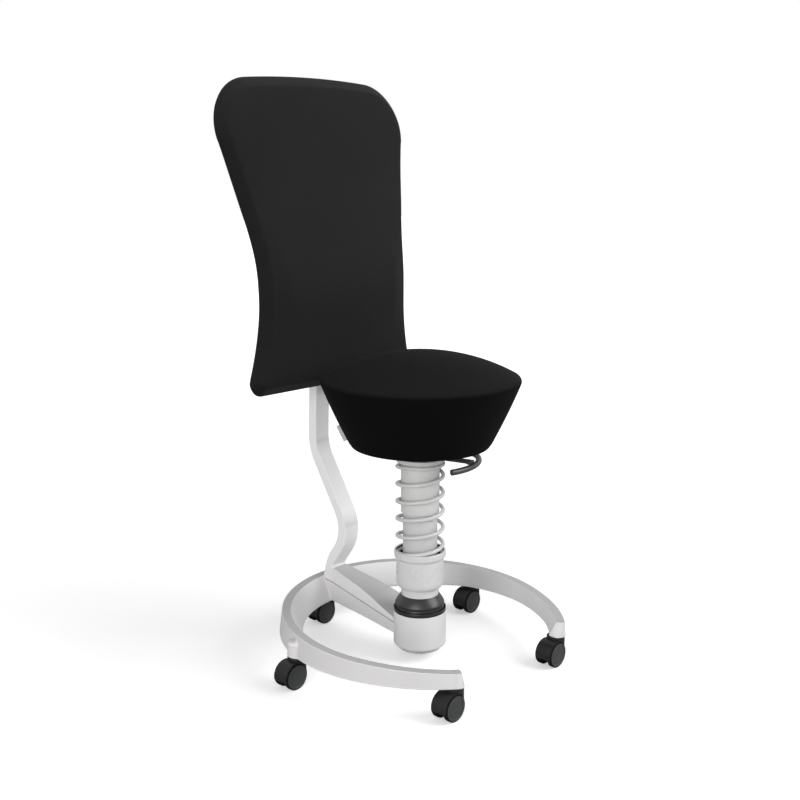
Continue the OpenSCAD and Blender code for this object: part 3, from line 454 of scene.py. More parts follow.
SMOOTH = {"grain": 900, "grain_depth": 0.000006}
# The frame and arm paints get painted shade on their tops (top) and painted light and shade by
# slope on their walls
painted("frame_paint", (0.625, 0.618, 0.62), 0.45, spec=0.3, top=0.72)
painted("arm_paint", (0.715, 0.707, 0.712), 0.42, spec=0.3, top=0.66)
painted("column_paint", (0.505, 0.505, 0.512), 0.30, coat=0.15, **SMOOTH)
# A lighter copy of the column paint for the neck and collar, the same finish: painted light
painted("column_paint_lit_copy", (0.565, 0.565, 0.573), 0.28, coat=0.2, **SMOOTH)
painted("spring_paint", (0.52, 0.518, 0.515), 0.34, coat=0.1, **SMOOTH)
painted("plate_metal", (0.46, 0.46, 0.46), 0.45, spec=0.35)
painted("lever_paint", (0.022, 0.022, 0.022), 0.34, spread=0.08)
metal("screw_steel", (0.56, 0.56, 0.57), 0.32, lines=0.15)
metal("inner_steel", (0.45, 0.45, 0.46), 0.35, lines=0.25)
metal("rod_chrome", (0.72, 0.72, 0.73), 0.10, lines=0.05)
# Black rubber of the boot, also used as painted shade inside the collar's cup
moulded("boot_rubber", (0.0075, 0.0075, 0.0078), 0.34, spec=0.5, depth=0.000008)
moulded("bearing_rubber", (0.03, 0.03, 0.03), 0.6)
moulded("socket_plastic", (0.05, 0.05, 0.05), 0.5)
moulded("seat_plastic", (0.018, 0.018, 0.019), 0.5)
moulded("castor_plastic", (0.0095, 0.0095, 0.0098), 0.46, spec=0.25)
moulded("wheel_plastic", (0.034, 0.035, 0.036), 0.48)
# Near-black tread: the tyre's own tone, also used as painted shade in gaps
moulded("tread_and_gap_shade", (0.0036, 0.0036, 0.0036), 0.7, spec=0.12)
# The slope pairs below paint shade on faces turned down and light on faces turned up
woven("fabric", (0.0046, 0.0046, 0.0047), (0.0125, 0.0125, 0.0127), 0.08, slope=(0.45, 1.7))
# A darker copy of the same fabric for the seat: painted shade
woven("fabric_seat_shade_copy", (0.0018, 0.0018, 0.0018), (0.0050, 0.0050, 0.0051), 0.01,
      slope=(0.8, 3.5), spec=0.03)
woven("back_fabric", (0.004, 0.004, 0.0041), (0.010, 0.010, 0.0103), 0.12, pitch=1.6)
woven("tab_fabric", (0.36, 0.36, 0.37), (0.60, 0.60, 0.61), 0.1, pitch=0.8)

# Solids that are shown as they are, with their edges eased
PLAIN_SOLIDS = {
    "screw_steel": ["end_plate_screws", "release_pin", "seat_screws", "lever_pin", "arm_bolts",
                    "backrest_screws"] + ["castor_axle_%d" % k for k in range(1, 6)],
    "inner_steel": ["bearing_cup", "pivot_post", "stand_tube", "gas_cylinder"],
    "bearing_rubber": ["tilt_buffer", "bearing_ring"],
    "socket_plastic": ["guide_bush", "stand_bush"],
    "rod_chrome": ["piston_rod"],
    "seat_plastic": ["seat_bracket", "seat_plate", "backrest_bracket"]}
for slot, names in PLAIN_SOLIDS.items():
    for name in names:
        solid = nodes[name]
        solid.data.materials.clear()
        solid.data.materials.append(M[slot])
        ease = solid.modifiers.new("eased_edges", "BEVEL")
        ease.width = 0.0009 if slot == "seat_plastic" else 0.0003
        ease.segments = 2
        ease.limit_method = "ANGLE"
        ease.angle_limit = math.radians(50)
        ease.harden_normals = False


# ---------------------------------------------------------------- foot ring
def ring_top_z(y):
    return RING_TOP_Z + math.tan(RING_TILT) * y


def boss_radius(z):
    """Radius of a castor's boss: a slight taper, then a rounded cap."""
    if z < SHOULDER_Z:
        rise = max(0.0, z - RING_LOW_Z) / (SHOULDER_Z - RING_LOW_Z)
        return BOSS_R - (BOSS_R - SHOULDER_R) * rise
    if z < SHOULDER_Z + BOSS_CAP:
        return SHOULDER_R * math.sqrt(max(0.0, 1 - ((z - SHOULDER_Z) / BOSS_CAP) ** 2))
    return 0.0


def ring_corners(angle):
    """Corners of the section: the base widens inwards at the back and both ends flare."""
    off = min(angle % 360, 360 - angle % 360)
    flare = max(0.0, (FLARE_FROM - off) / FLARE_SPAN) ** 1.5
    inner_bottom = RING_BOTTOM[1] - BASE_WIDER * smoothstep((off - WIDER_FROM) / WIDER_SPAN)
    radii = (RING_TOP[0], RING_BOTTOM[0], inner_bottom, RING_TOP[1])
    result = []
    for r, more, top in zip(radii, FLARE_BY, (True, False, False, True)):
        p = on_circle(r + more * flare, angle)
        p[2] = ring_top_z(p[1]) if top else RING_LOW_Z
        result.append(p)
    return result


def ring_section(corners, angle=None):
    """Section points from top outer, bottom outer, bottom inner and top inner corners.

    With an angle, the outer wall is pushed out round the castor bosses."""
    per_corner, spans = 5, (14, 3, 5, 1)
    pts = fillet(corners, [1.3, 3.0, 2.6, 1.1], closed=True, steps=per_corner - 1)
    blocks = [pts[i * per_corner:(i + 1) * per_corner] for i in range(4)]
    out = []
    for i in range(4):
        out.extend(blocks[i])
        a, b = blocks[i][-1], blocks[(i + 1) % 4][0]
        out.extend(a + (b - a) * k / (spans[i] + 1) for k in range(1, spans[i] + 1))
    out = np.array(out)
    if angle is None:
        return out
    top, bottom = corners[0], corners[1]
    r_top, r_bottom = np.hypot(*top[:2]), np.hypot(*bottom[:2])
    on_wall = 2 * per_corner + spans[0]
    for boss_angle in BOSS_ANGLES:
        d = math.radians((angle - boss_angle + 180) % 360 - 180)
        if abs(d) > BOSS_SPAN:
            continue
        across = CASTOR_R * math.sin(abs(d))
        for i in range(on_wall + spans[1]):
            p = out[i]
            wall = r_bottom + (r_top - r_bottom) * (p[2] - bottom[2]) / (top[2] - bottom[2])
            boss = boss_radius(p[2])
            if boss <= across:
                continue
            reach = CASTOR_R * math.cos(d) + math.sqrt(boss * boss - across * across)
            push = smooth_max(wall, reach, BOSS_BLEND) - wall
            if i >= on_wall:
                push *= max(0.0, 1 - (i - on_wall + 1) / (spans[1] + 1))
            r = np.hypot(p[0], p[1])
            out[i, :2] = p[:2] * (r + push) / r
    return out


def ring_end(angle, way):
    """Sections that round off one end; way is +1 towards larger angles."""
    a = math.radians(angle)
    along = np.array([math.cos(a), math.sin(a), 0.0]) * way
    top_out, low_out, low_in, top_in = ring_corners(angle)
    stops = [(s, 1.0) for s in (0.0, 0.30, 0.62, 1.0)]
    stops += [(1.0, q) for q in (0.985, 0.93, 0.8, 0.62, 0.42, 0.22, 0.06)]
    out = []
    for s, q in stops:
        ease = 0.0
        if q > 0.93:
            ease = 1.2 * (1 - math.sqrt(max(0.0, 1 - ((q - 0.93) / 0.07) ** 2)))
        pairs = []
        for outer, inner, length, bulge in ((top_out, top_in, 9.8, 1.0),
                                            (low_out, low_in, 11.0, 8.0)):
            middle = (outer + inner) / 2 + along * (length * s - ease + bulge * (1 - q * q))
            half = (outer - inner) / 2 * q
            pairs.append((middle + half, middle - half))
        (top_a, top_b), (low_a, low_b) = pairs
        for p in (top_a, top_b):
            p[2] = ring_top_z(p[1])
        out.append(ring_section([top_a, low_a, low_b, top_b]))
    return out


def ring_angles():
    """Stops along the ring, close together at the bosses."""
    stops, a = [], RING_START
    while a < RING_STOP - 0.05:
        stops.append(a)
        to_boss = min(abs(a - b) for b in BOSS_ANGLES)
        a += 0.3 if to_boss < 5.6 else (0.8 if abs(a - 180) < 14 else 1.45)
    return stops + [RING_STOP]


ring_rings = ring_end(RING_START, -1)[::-1]
ring_rings += [ring_section(ring_corners(a), a) for a in ring_angles()]
ring_rings += ring_end(RING_STOP, 1)
Shape().loft(ring_rings).build("castor_ring", "frame_paint", "base", "foot_ring", sharp=40)

socket_wall = fillet([(5.6, 60.7), (7.9, 60.7), (7.9, 74.0), (5.6, 74.0)], 0.4, closed=True,
                     steps=3)
sockets = Shape()
for at in CASTORS.values():
    sockets.lathe(socket_wall, segments=48, closed=True, axes=(at, *np.eye(3)))
sockets.build("castor_socket_tubes", "socket_plastic", "base", "castor_sockets")


# ---------------------------------------------------------------- hub and spoke
def hub_profile():
    foot = arc(HUB_FOOT_R, HUB_BOTTOM + HUB_FOOT_ROUND, np.radians(range(-84, 1, 7)),
               HUB_R - HUB_FOOT_R, HUB_FOOT_ROUND)
    brim = fillet([(HUB_R, HUB_TOP - 4), (HUB_R, HUB_TOP), (52.3, HUB_TOP)], 0.9, steps=4)
    bore = [(52.0, HUB_TOP), (52.0, 88.9), (40, 88.9), (40, 39.2), (26, 39.2)]
    return [(26, HUB_BOTTOM + 0.4), (HUB_FOOT_R - 1, HUB_BOTTOM)] + foot + list(brim) + bore


def taper(y, end_w):
    """Half width of the spoke between its root and its end."""
    return ROOT_W - (ROOT_W - end_w) * (y - ROOT_Y) / TAPER_LENGTH


def spoke_half(y):
    if y >= ROOT_Y + TAPER_LENGTH:
        return SPOKE_END_W
    return max(SPOKE_END_W, taper(y, SPOKE_END_W)) + 5.4 * bell(y, 4, 15.0)


hub = Shape().lathe(hub_profile(), segments=128, closed=True)
spoke_rings = []
LEDGE, LIP = 3.6, 1.5
for y in list(np.linspace(22, 60, 15)) + list(np.linspace(64, 270, 44)):
    root = max(0.0, 30 - y)
    w = spoke_half(y)
    zb = interp(SPOKE_UNDER, y) - 0.12 * root
    zt = interp(PART_LINE, y) - 1.3 + 0.2 * root
    half = fillet([(0, zb), (w, zb), (w, zt), (w - LEDGE, zt), (w - LEDGE, zt + LIP),
                   (0, zt + LIP)], [0, 4.5, 0.9, 0.2, 0.2, 0], steps=4)
    other = [(-x, z) for x, z in half[::-1]][1:-1]
    spoke_rings.append([(x, y, z) for x, z in list(half) + other])
hub.loft(spoke_rings)
hub.build("hub_and_spoke", "frame_paint", "base", "hub_carrier", sharp=40)

# Fine bead where the spoke's sides run into the ring's inner wall
BEAD_X = 23.8
bead_top_y, bead_low_y = (math.sqrt(wall ** 2 - BEAD_X ** 2) for wall in (262.9, 239.3))
for side, label in ((-1, "left"), (1, "right")):
    path = [(side * (BEAD_X + 0.1), bead_low_y + (bead_top_y - bead_low_y) * f,
             61.5 + (110.0 - 61.5) * f) for f in np.linspace(1, 0.02, 9)]
    Shape().tube(path, 2.3, sides=14, up=(1, 0, 0), end_round=1.5).build(
        "spoke_bead_" + label, "frame_paint", "base")

# ---------------------------------------------------------------- end plate
plate_edge = fillet([(8, 19.6), (42.6, 19.6), (44.9, 21.2), (44.9, 24.6), (41.0, 24.6),
                     (41.0, 26.6)], [0, 0.8, 0.6, 0.5, 0.4, 0], steps=4)
plate = Shape().lathe([(0, 19.8), (8, 19.6)] + list(plate_edge[1:]) + [(0, 26.8)])
lug_way, lug_side = np.array([-0.733, -0.680]), np.array([0.680, -0.733])
lug = [lug_way * r + lug_side * w for r, w in ((42, 0.2), (48.4, 0.2), (48.4, 3.2), (42, 3.2))]
plate.slab(fillet(lug, [0, 0.6, 0.6, 0], closed=True, steps=3), 20.6, 26.4, edge=0.5)
# The plate's top under the hub takes the near-black tread material: painted shade in the gap
# between hub and plate
recolour(plate.build("end_plate_disc", "plate_metal", "base", "end_plate"), "tread_and_gap_shade",
         lambda x, y, z: z > 24.4 and math.hypot(x, y) < 44)

# ---------------------------------------------------------------- rubber boot
boot_section = fillet(
    [(52.0, 100.5), (53.4, 100.5), (53.8, 102.6), (53.7, 107.2), (53.2, 108.6), (52.5, 107.4),
     (52.3, 103.0), (51.8, 101.0)],
    [0.2, 0.6, 2.0, 0.8, 0.3, 0.3, 0.8, 0.2], closed=True, steps=4)
Shape().lathe(boot_section, segments=128, closed=True).build(
    "boot_ring_moulded", "boot_rubber", "base", "boot_ring")

DOME_RIM, DOME_WALL, DOME_TOP_R = 4, 3, 54.5  # height over the pivot, thickness, radius
NECK_HOLE_R = NECK_R + 0.2


def dome_radius(t):
    """Radius of the dome's skin at t above the pivot: it fills out towards the neck."""
    deg = math.degrees(t)
    return 50.8 + 1.1 * smoothstep((deg - 10.0) / 4.0) + 2.6 * smoothstep((deg - 16.5) / 6.0)


dome_skin = [arc(0, PIVOT_Z, [t], dome_radius(t))[0] for t in np.linspace(
    math.asin(DOME_RIM / DOME_R), math.acos(NECK_HOLE_R / DOME_TOP_R), 40)]
inner_r = DOME_R - DOME_WALL
dome_inside = arc(0, PIVOT_Z, np.linspace(
    math.acos(NECK_HOLE_R / inner_r), math.asin(DOME_RIM / inner_r), 16), inner_r)
tip_r, tip_z = dome_skin[-1]
dome_tip = [(tip_r + 0.2, tip_z - 0.2), (tip_r, tip_z)]
Shape().lathe(dome_skin[:-1] + dome_tip + dome_inside, segments=128, closed=True).build(
    "dome_boot_moulded", "boot_rubber", "column", "dome_boot")


# ---------------------------------------------------------------- neck, collar and tubes
def turned(name, points, radii, mat, body, replaces, slot=None):
    profile = fillet(points, radii, closed=True)
    return Shape().lathe(profile, segments=128, closed=True).build(
        name, mat, body, replaces, slot=slot)


turned("neck_turned", [(26, 128.3), (38.3, 128.3), (38.3, 150.9), (27, 150.9)],
       [0, 1.0, 1.2, 0], "column_paint_lit_copy", "column", "neck", slot="column_paint")
collar_curve = arc(38.9, 165.0, np.radians(range(-80, 1, 8)), 9.6, 14)
collar_points = [(35.2, 151.0), (38.9, 151.0)] + collar_curve + [
    (48.5, 212.6), (50.0, 215.2), (52.2, 217.0), (52.7, 219.4), (52.7, 228.6), (51.8, 229.9),
    (49.0, 229.9), (48.4, 228.6), (48.4, 217.0), (35.2, 217.0)]
collar_radii = [0, 0.3] + [0] * len(collar_curve) + [
    3.0, 2.0, 1.4, 1.0, 0.8, 0.7, 0.5, 0.5, 0.6, 0]
collar = turned("collar_turned", collar_points, collar_radii, "column_paint_lit_copy", "column",
                "collar", slot="column_paint")
# The lower inside of the cup takes the black rubber material: painted shade in the recess round
# the tube
recolour(collar, "boot_rubber",
         lambda x, y, z: 216.6 < z < 224.5 and math.hypot(x, y) < 48.6)
turned("lower_tube_drawn", [(31.8, 217.1), (35, 217.1), (35, 332.9), (31.8, 332.9)],
       [0, 0.5, 0.8, 0.4], "column_paint", "column", "lower_tube")
turned("upper_tube_drawn", [(35.4, 310.1), (39, 310.1), (39, 414.4), (35.4, 414.4)],
       [0.5, 1.1, 0.3, 0.3], "spring_paint", "carriage", "upper_tube")
turned("spring_plate_turned", [(25.1, 414.6), (48, 414.6), (48, 423.9), (25.1, 423.9)],
       [0.4, 2.0, 2.0, 0.4], "spring_paint", "carriage", "spring_plate")


# ---------------------------------------------------------------- bounce spring
def spring_path():
    """Middle line of the wire: level for SPRING_FLAT of a turn at both ends."""
    ts = np.linspace(0, SPRING_TURNS, int(SPRING_TURNS * 56) + 1)
    rise = np.clip((ts - SPRING_FLAT) / (SPRING_TURNS - 2 * SPRING_FLAT), 0, 1)
    z = SPRING_LOW + (SPRING_HIGH - SPRING_LOW) * rise
    kernel = np.hanning(9)
    kernel /= kernel.sum()
    z = np.convolve(np.pad(z, 4, mode="edge"), kernel, mode="valid")
    a = np.radians(SPRING_START + 360 * (ts - 1))
    pts = np.stack([SPRING_R * np.cos(a), SPRING_R * np.sin(a), z], 1)
    d0, d1 = unit(pts[0] - pts[1]), unit(pts[-1] - pts[-2])
    d0[2] = d1[2] = 0
    near, far = 3.5, 7.4
    return np.vstack([pts[0] + d0 * far, pts[0] + d0 * near, pts, pts[-1] + d1 * near,
                      pts[-1] + d1 * far])


spring = Shape().tube(spring_path(), SPRING_WIRE_R).build(
    "bounce_spring_wound", "spring_paint", "column", "bounce_spring", sharp=50, weighted=False)
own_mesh(spring)


# ---------------------------------------------------------------- seat
def seat_profile():
    """Underside, foot, swelling side, rounded rim and crown, from the axis to the axis."""
    crown_r = (SEAT_R ** 2 + SEAT_CROWN ** 2) / (2 * SEAT_CROWN)
    crown_z = SEAT_RIM_Z + SEAT_CROWN
    side_a = math.atan2(133.0, 59.5)
    rim = np.array([SEAT_R - SEAT_ROUND, SEAT_RIM_Z])
    low = np.array([SEAT_FOOT_R, SEAT_FOOT_Z])
    facing = side_a - math.pi / 2
    high = rim + SEAT_ROUND * np.array([math.cos(facing), math.sin(facing)])
    pts = [(0.0, 456.0), (60, 456.0), (124.6, 456.0), (125.6, 455.4), (125.8, 449.0),
           (127.5, 447.7), (132.0, 447.6)]
    pts += list(fillet([(132.0, 447.6), (138.5, 449.6), low], 5.0, steps=4)[1:-1])
    side = high - low
    out = np.array([side[1], -side[0]]) / np.linalg.norm(side)
    swell = 1.6
    for f in np.linspace(0, 1, 22):
        pts.append(low + side * f + out * swell * math.sin(math.pi * f) ** 0.8)
    top_a = math.pi / 2 - math.asin(rim[0] / crown_r)
    pts += arc(*rim, np.linspace(facing + 0.12, top_a, 12), SEAT_ROUND)
    end_r, end_z = pts[-1]
    start = math.asin(end_r / (crown_r + 0.001))
    step = end_z - (crown_z - crown_r * (1 - math.cos(start)))
    for i in range(1, 31):
        back = 1 - i / 30.0
        a = start * back
        pts.append((crown_r * math.sin(a),
                    crown_z - crown_r * (1 - math.cos(a)) + step * back ** 2))
    return pts


# The seat takes the darker copy of the fabric: painted shade
seat = Shape().lathe(seat_profile(), segments=160).build(
    "seat_cushion_soft", "fabric_seat_shade_copy", "seat", "seat_cushion", sharp=60, weighted=False,
    slot="fabric")

# Fabric tab, folded over from the seat's side
tab_a = math.radians(TAB_AZIMUTH)
tab_out = np.array([math.cos(tab_a), math.sin(tab_a), 0])
tab_across = np.array([-math.sin(tab_a), math.cos(tab_a), 0])
z_axis = np.array([0, 0, 1])
lean = math.atan2(54.8, 119.3)
tab_up = tab_out * math.sin(lean) + z_axis * math.cos(lean)
tab_face = tab_out * math.cos(lean) - z_axis * math.sin(lean)
tab_mid = tab_out * (SEAT_FOOT_R + (TAB_Z - SEAT_FOOT_Z) * math.tan(lean)) + z_axis * TAB_Z
tab_side = [(0.9, -0.75), (4.0, -0.62), (7.5, -0.62), (9.2, -0.5)]
tab_loop = tab_side + [(9.7, 0.0)] + [(x, -y) for x, y in tab_side[::-1]]
tab_rings = []
for v in np.linspace(-TAB_HALF, TAB_HALF, 15):
    sway = 0.25 * math.sin(v / 5.0)
    tab_rings.append([tab_mid + tab_up * v + tab_face * x + tab_across * (y + sway * x / 9.0)
                      for x, y in tab_loop])
Shape().loft(tab_rings).build("label_tab_fold", "tab_fabric", "seat", "label_tab", sharp=60)


# ---------------------------------------------------------------- lever
def lever_path():
    """A wide arc under the seat's front, then a tight hook and a short straight end."""
    centre, start, sweep, r = np.array([-16.0, -4.0]), -105.5, 72.0, 124.0
    hook_r, hook_sweep, straight = 26.0, 105.0, 12
    turn = start + sweep
    pts = arc(*centre, np.radians(np.linspace(start, turn, 44)), r)
    way = np.array([math.cos(math.radians(turn)), math.sin(math.radians(turn))])
    hook = centre + r * way - hook_r * way
    stop = turn + hook_sweep
    pts += arc(*hook, np.radians(np.linspace(turn, stop, 26)[1:]), hook_r)
    pts += arc(*pts[-1], [math.radians(stop + 90)], straight)
    return [(x, y, LEVER_ROD_Z) for x, y in pts]


lever = Shape().tube(lever_path(), LEVER_ROD_R, sides=28, end_round=0.9)
lever.slab(fillet([(-11, -50), (-11, -60), (5, -123), (26, -119), (11, -60), (11, -50)],
                  [0, 14, 2, 2, 14, 0], closed=True, steps=4), 429, 433, edge=0.7)
lever.slab(fillet([(-11, 9), (-11, -50), (11, -50), (11, 9)], [3, 1, 1, 3], closed=True,
                  steps=4), 439, 443, edge=0.7)
lever.prism(fillet([(-11, -50), (-11, -46), (11, -46), (11, -50)], 0.7, closed=True, steps=3),
            (429.4, 433, 439, 442.6))
lever.prism(fillet([(8, -122.4), (8, -112), (22, -112), (22, -120.5)], 1.0, closed=True,
                   steps=3), (426.5, 429.6))
lever.lathe([(2.1, -11), (3.6, -11), (4, -10.6), (4, 10.6), (3.6, 11), (2.1, 11)],
            segments=32, closed=True, axes=(np.array(LEVER_PIN), *np.eye(3)[[1, 2, 0]]))
lever.build("height_lever", "lever_paint", "lever", "lever", sharp=45)


# ---------------------------------------------------------------- backrest arm
def bar_ring(front, rear, half_w, r):
    """Rounded section between a front and a rear point in the x = 0 plane."""
    front, rear = np.array(front, float), np.array(rear, float)
    t = np.linalg.norm(rear - front)
    d = (rear - front) / t
    pts = fillet([(-half_w, 0), (half_w, 0), (half_w, t), (-half_w, t)], r, closed=True,
                 steps=6)
    return [(x, front[0] + d[0] * s, front[1] + d[1] * s) for x, s in pts]


arm_line = fillet([(255.8, 134.2), (191.4, 223.9), (297.1, 397.4), (286.1, 690.0)],
                  [0, 86, 105, 0], steps=26)
dense = [arm_line[0]]
for p in arm_line[1:]:
    start = dense[-1]
    steps = max(1, int(np.linalg.norm(p - start) / 14))
    dense.extend(start + (p - start) * k / steps for k in range(1, steps + 1))
arm_line = np.array(dense)
arm_rings = [
    bar_ring((236.0, 111.5), (264.5, 109.9), 23.4, 1.6),
    bar_ring((236.0, 118.0), (263.6, 116.0), 22.9, 2.4),
    bar_ring((236.3, 126.5), (262.0, 123.5), 22.1, 3.4),
    bar_ring((237.2, 134.5), (260.4, 134.5), 21.4, 4.2),
    bar_ring((237.6, 140.8), (257.6, 146.0), 20.9, 4.8)]
FOOT_RUN, TOP_EASE = 24, 2.0
run = 0.0
for i, p in enumerate(arm_line):
    if i:
        run += np.linalg.norm(p - arm_line[i - 1])
    if run < FOOT_RUN:
        continue
    d = unit(arm_line[min(i + 1, len(arm_line) - 1)] - arm_line[i - 1])
    n = np.array([d[1], -d[0]])
    if n[0] < 0:
        n = -n
    to_end = max(0.0, TOP_EASE - np.linalg.norm(arm_line[-1] - p))
    ease = TOP_EASE * (1 - math.sqrt(max(0.0, 1 - (to_end / TOP_EASE) ** 2)))
    arm_rings.append(bar_ring(p - n * (BAR_FRONT - ease), p + n * (BAR_REAR - ease),
                              BAR_HALF_W - ease, BAR_CORNER))
arm = Shape().loft(arm_rings)

# Foot: bolted down on the spoke, its flanks leaning in from the parting line to the ridge
foot_rings = []
for f in np.linspace(0, 1, 60):
    y_mid = FOOT_NEAR_R + (FOOT_FAR_Y - FOOT_NEAR_R) * f
    w = FOOT_END_W if y_mid > ROOT_Y + TAPER_LENGTH else taper(max(y_mid, ROOT_Y), FOOT_END_W)
    zb = interp(PART_LINE, y_mid) + FOOT_GAP
    zt = interp(FOOT_HEEL if y_mid > FOOT_HEEL[0][0] else FOOT_RIDGE, y_mid)
    lean_in = 0.12 * (zt - zb)
    section = fillet([(w, zb), (w - lean_in, zt), (-(w - lean_in), zt), (-w, zb)],
                     [0.7, 1.2, 1.2, 0.7], closed=True)
    foot_ring = []
    for x, z in section:
        y0 = math.sqrt(max(0.0, FOOT_NEAR_R ** 2 - min(abs(x), 54.0) ** 2))
        y = y0 + (FOOT_FAR_Y - y0) * f
        dz = interp(PART_LINE, y) + FOOT_GAP - zb if y < y_mid - 0.5 else 0.0
        foot_ring.append((x, y, z + dz))
    foot_rings.append(foot_ring)
arm.loft(foot_rings)
arm.build("backrest_arm_bent", "arm_paint", "base", "backrest_arm", sharp=36)


# ---------------------------------------------------------------- backrest
def rim_y(z):
    """Where the seam between cushion and shell lies: two slopes with a soft knee."""
    dz = z - 801.0
    swell = smoothstep((z - 700) / 150.0) - smoothstep((z - 960) / 150.0)
    return 233.7 + 0.09 * dz + 0.145 * math.sqrt(dz * dz + 60 ** 2) + 3.4 * swell


def side_half_w(z):
    def hollow(r, d):
        return r - math.sqrt(max(0.0, r * r - d * d))
    high = WAIST_Z + WAIST_FLAT
    if z < WAIST_Z:
        return WAIST_W + hollow(LOW_HOLLOW_R, WAIST_Z - z)
    if z < FLARE_Z:
        return WAIST_W + hollow(HIGH_HOLLOW_R, max(0.0, z - high))
    return WAIST_W + hollow(HIGH_HOLLOW_R, FLARE_Z - high) + (z - FLARE_Z) * math.tan(FLARE)


def trim(z):
    """Small changes of the half width along the height."""
    return 1.2 * bell(z, 880, 70.0) - 1.0 * bell(z, 1005, 60.0) \
        - 1.8 * smoothstep((790 - z) / 110.0)


def back_outline():
    low_z, low_r = BACK_LOW + 34, 30.0
    low_x = side_half_w(low_z) + trim(low_z) - low_r + 0.5
    top_z, top_r = 1066.0, 100.0
    touch = top_z - top_r * math.sin(FLARE)
    top_x = side_half_w(touch) - top_r * math.cos(FLARE)
    drop = top_z - BACK_HIGH
    crown = (top_x ** 2 + drop ** 2 - top_r ** 2) / (2 * (BACK_HIGH - top_z - top_r))
    meet = math.atan2(top_z - (BACK_HIGH - crown), top_x)
    half = [(x, BACK_LOW) for x in np.linspace(0, low_x, 22)[:-1]]
    half += arc(low_x, BACK_LOW + low_r, np.linspace(-math.pi / 2, -0.06, 14), low_r)
    half += [(side_half_w(z) + trim(z), z) for z in np.linspace(low_z, touch, 60)[1:-1]]
    half += arc(top_x, top_z, np.linspace(-FLARE, meet, 26), top_r)
    half += arc(0, BACK_HIGH - crown, np.linspace(meet, math.pi / 2, 24)[1:], crown)
    half = np.array(half)
    other = half[-2:0:-1].copy()
    other[:, 0] *= -1
    return np.vstack([half, other])


outline = back_outline()
tangent = np.roll(outline, -1, 0) - np.roll(outline, 1, 0)
outward = np.stack([tangent[:, 1], -tangent[:, 0]], 1)
outward /= np.linalg.norm(outward, axis=1, keepdims=True)


def inset(d):
    return outline - outward * d


def lumbar(z):
    return 11.0 * bell(z, WAIST_Z, 95.0)


def face_rings(d, count, depth_at):
    """Rings from the outline, drawn in by d, towards the middle line."""
    rings = []
    for f in np.linspace(0, SPINE_SHARE, count):
        row = []
        for x, z in inset(d):
            spine_z = min(max(z, BACK_LOW + SPINE_END), BACK_HIGH - SPINE_END)
            pz = z + (spine_z - z) * f
            row.append((x * (1 - f), rim_y(pz) + depth_at(pz, f), pz))
        rings.append(row)
    return rings


def cushion_depth(z, f):
    return -21.7 - lumbar(z) * smoothstep(0.35 + f * 3.2) - 4.1 * (1 - (1 - f) ** 2)


# Edges as (inset, depth) from the seam
CUSHION_EDGE = [
    (1.6, 0.0), (0.8, 0.2), (0.2, 0.8), (0.0, 1.6), (0.2, 2.6), (0.9, 3.8), (2.2, 5.4),
    (4.4, 7.6), (7.0, 10.1), (9.6, 12.5), (12.2, 14.9), (14.6, 17.0), (16.6, 18.7),
    (18.2, 19.9), (19.4, 20.6), (21.2, 21.0), (26.0, 21.6)]
SHELL_EDGE = [
    (3.6, 0.8), (2.8, 0.9), (2.3, 1.5), (2.4, 2.6), (3.1, 4.2), (4.3, 6.2), (6.0, 8.4),
    (8.2, 10.5), (10.8, 12.2), (13.6, 13.4), (17.0, 14.0)]

front_rings = []
for d, depth in CUSHION_EDGE:
    support = smoothstep(0.35) * smoothstep(depth / 22.0)
    front_rings.append([(x, rim_y(z) - (depth + lumbar(z) * support), z) for x, z in inset(d)])
front_rings += face_rings(CUSHION_EDGE[-1][0], 34, cushion_depth)[1:]
cushion = Shape().loft_to_line(front_rings)
cushion.loft_to_line(face_rings(1.5, 12, lambda z, f: 0.0))
cushion_obj = cushion.build("backrest_cushion_soft", "fabric", "base", "backrest_cushion",
                            sharp=60, weighted=False)

rear_rings = []
for d, depth in SHELL_EDGE:
    rear_rings.append([(x, rim_y(z) + depth, z - 0.16 * depth * smoothstep((z - 1090) / 60.0))
                       for x, z in inset(d)])
rear_rings += face_rings(SHELL_EDGE[-1][0], 26, lambda z, f: SHELL_EDGE[-1][1])[1:]
shell = Shape().loft_to_line(rear_rings)
shell.loft_to_line(face_rings(SHELL_EDGE[0][0], 12, lambda z, f: SHELL_EDGE[0][1]))
shell.build("backrest_shell", "back_fabric", "base", "backrest_carrier", sharp=60,
            weighted=False)

# ---------------------------------------------------------------- castors
AXLE = np.array([-TRAIL, 0, WHEEL_R])  # with the stem's axis at the origin


def axle_axes(way):
    """Axes for turning about the axle, which points along way * y."""
    return AXLE, np.array([1.0, 0, 0]), np.array([0, 0, 1.0]), np.array([0, float(way), 0])


def well(x):
    """Height of the wheel well's roof."""
    return WHEEL_R + math.sqrt(max(0.0, WELL_R ** 2 - (x + TRAIL) ** 2))


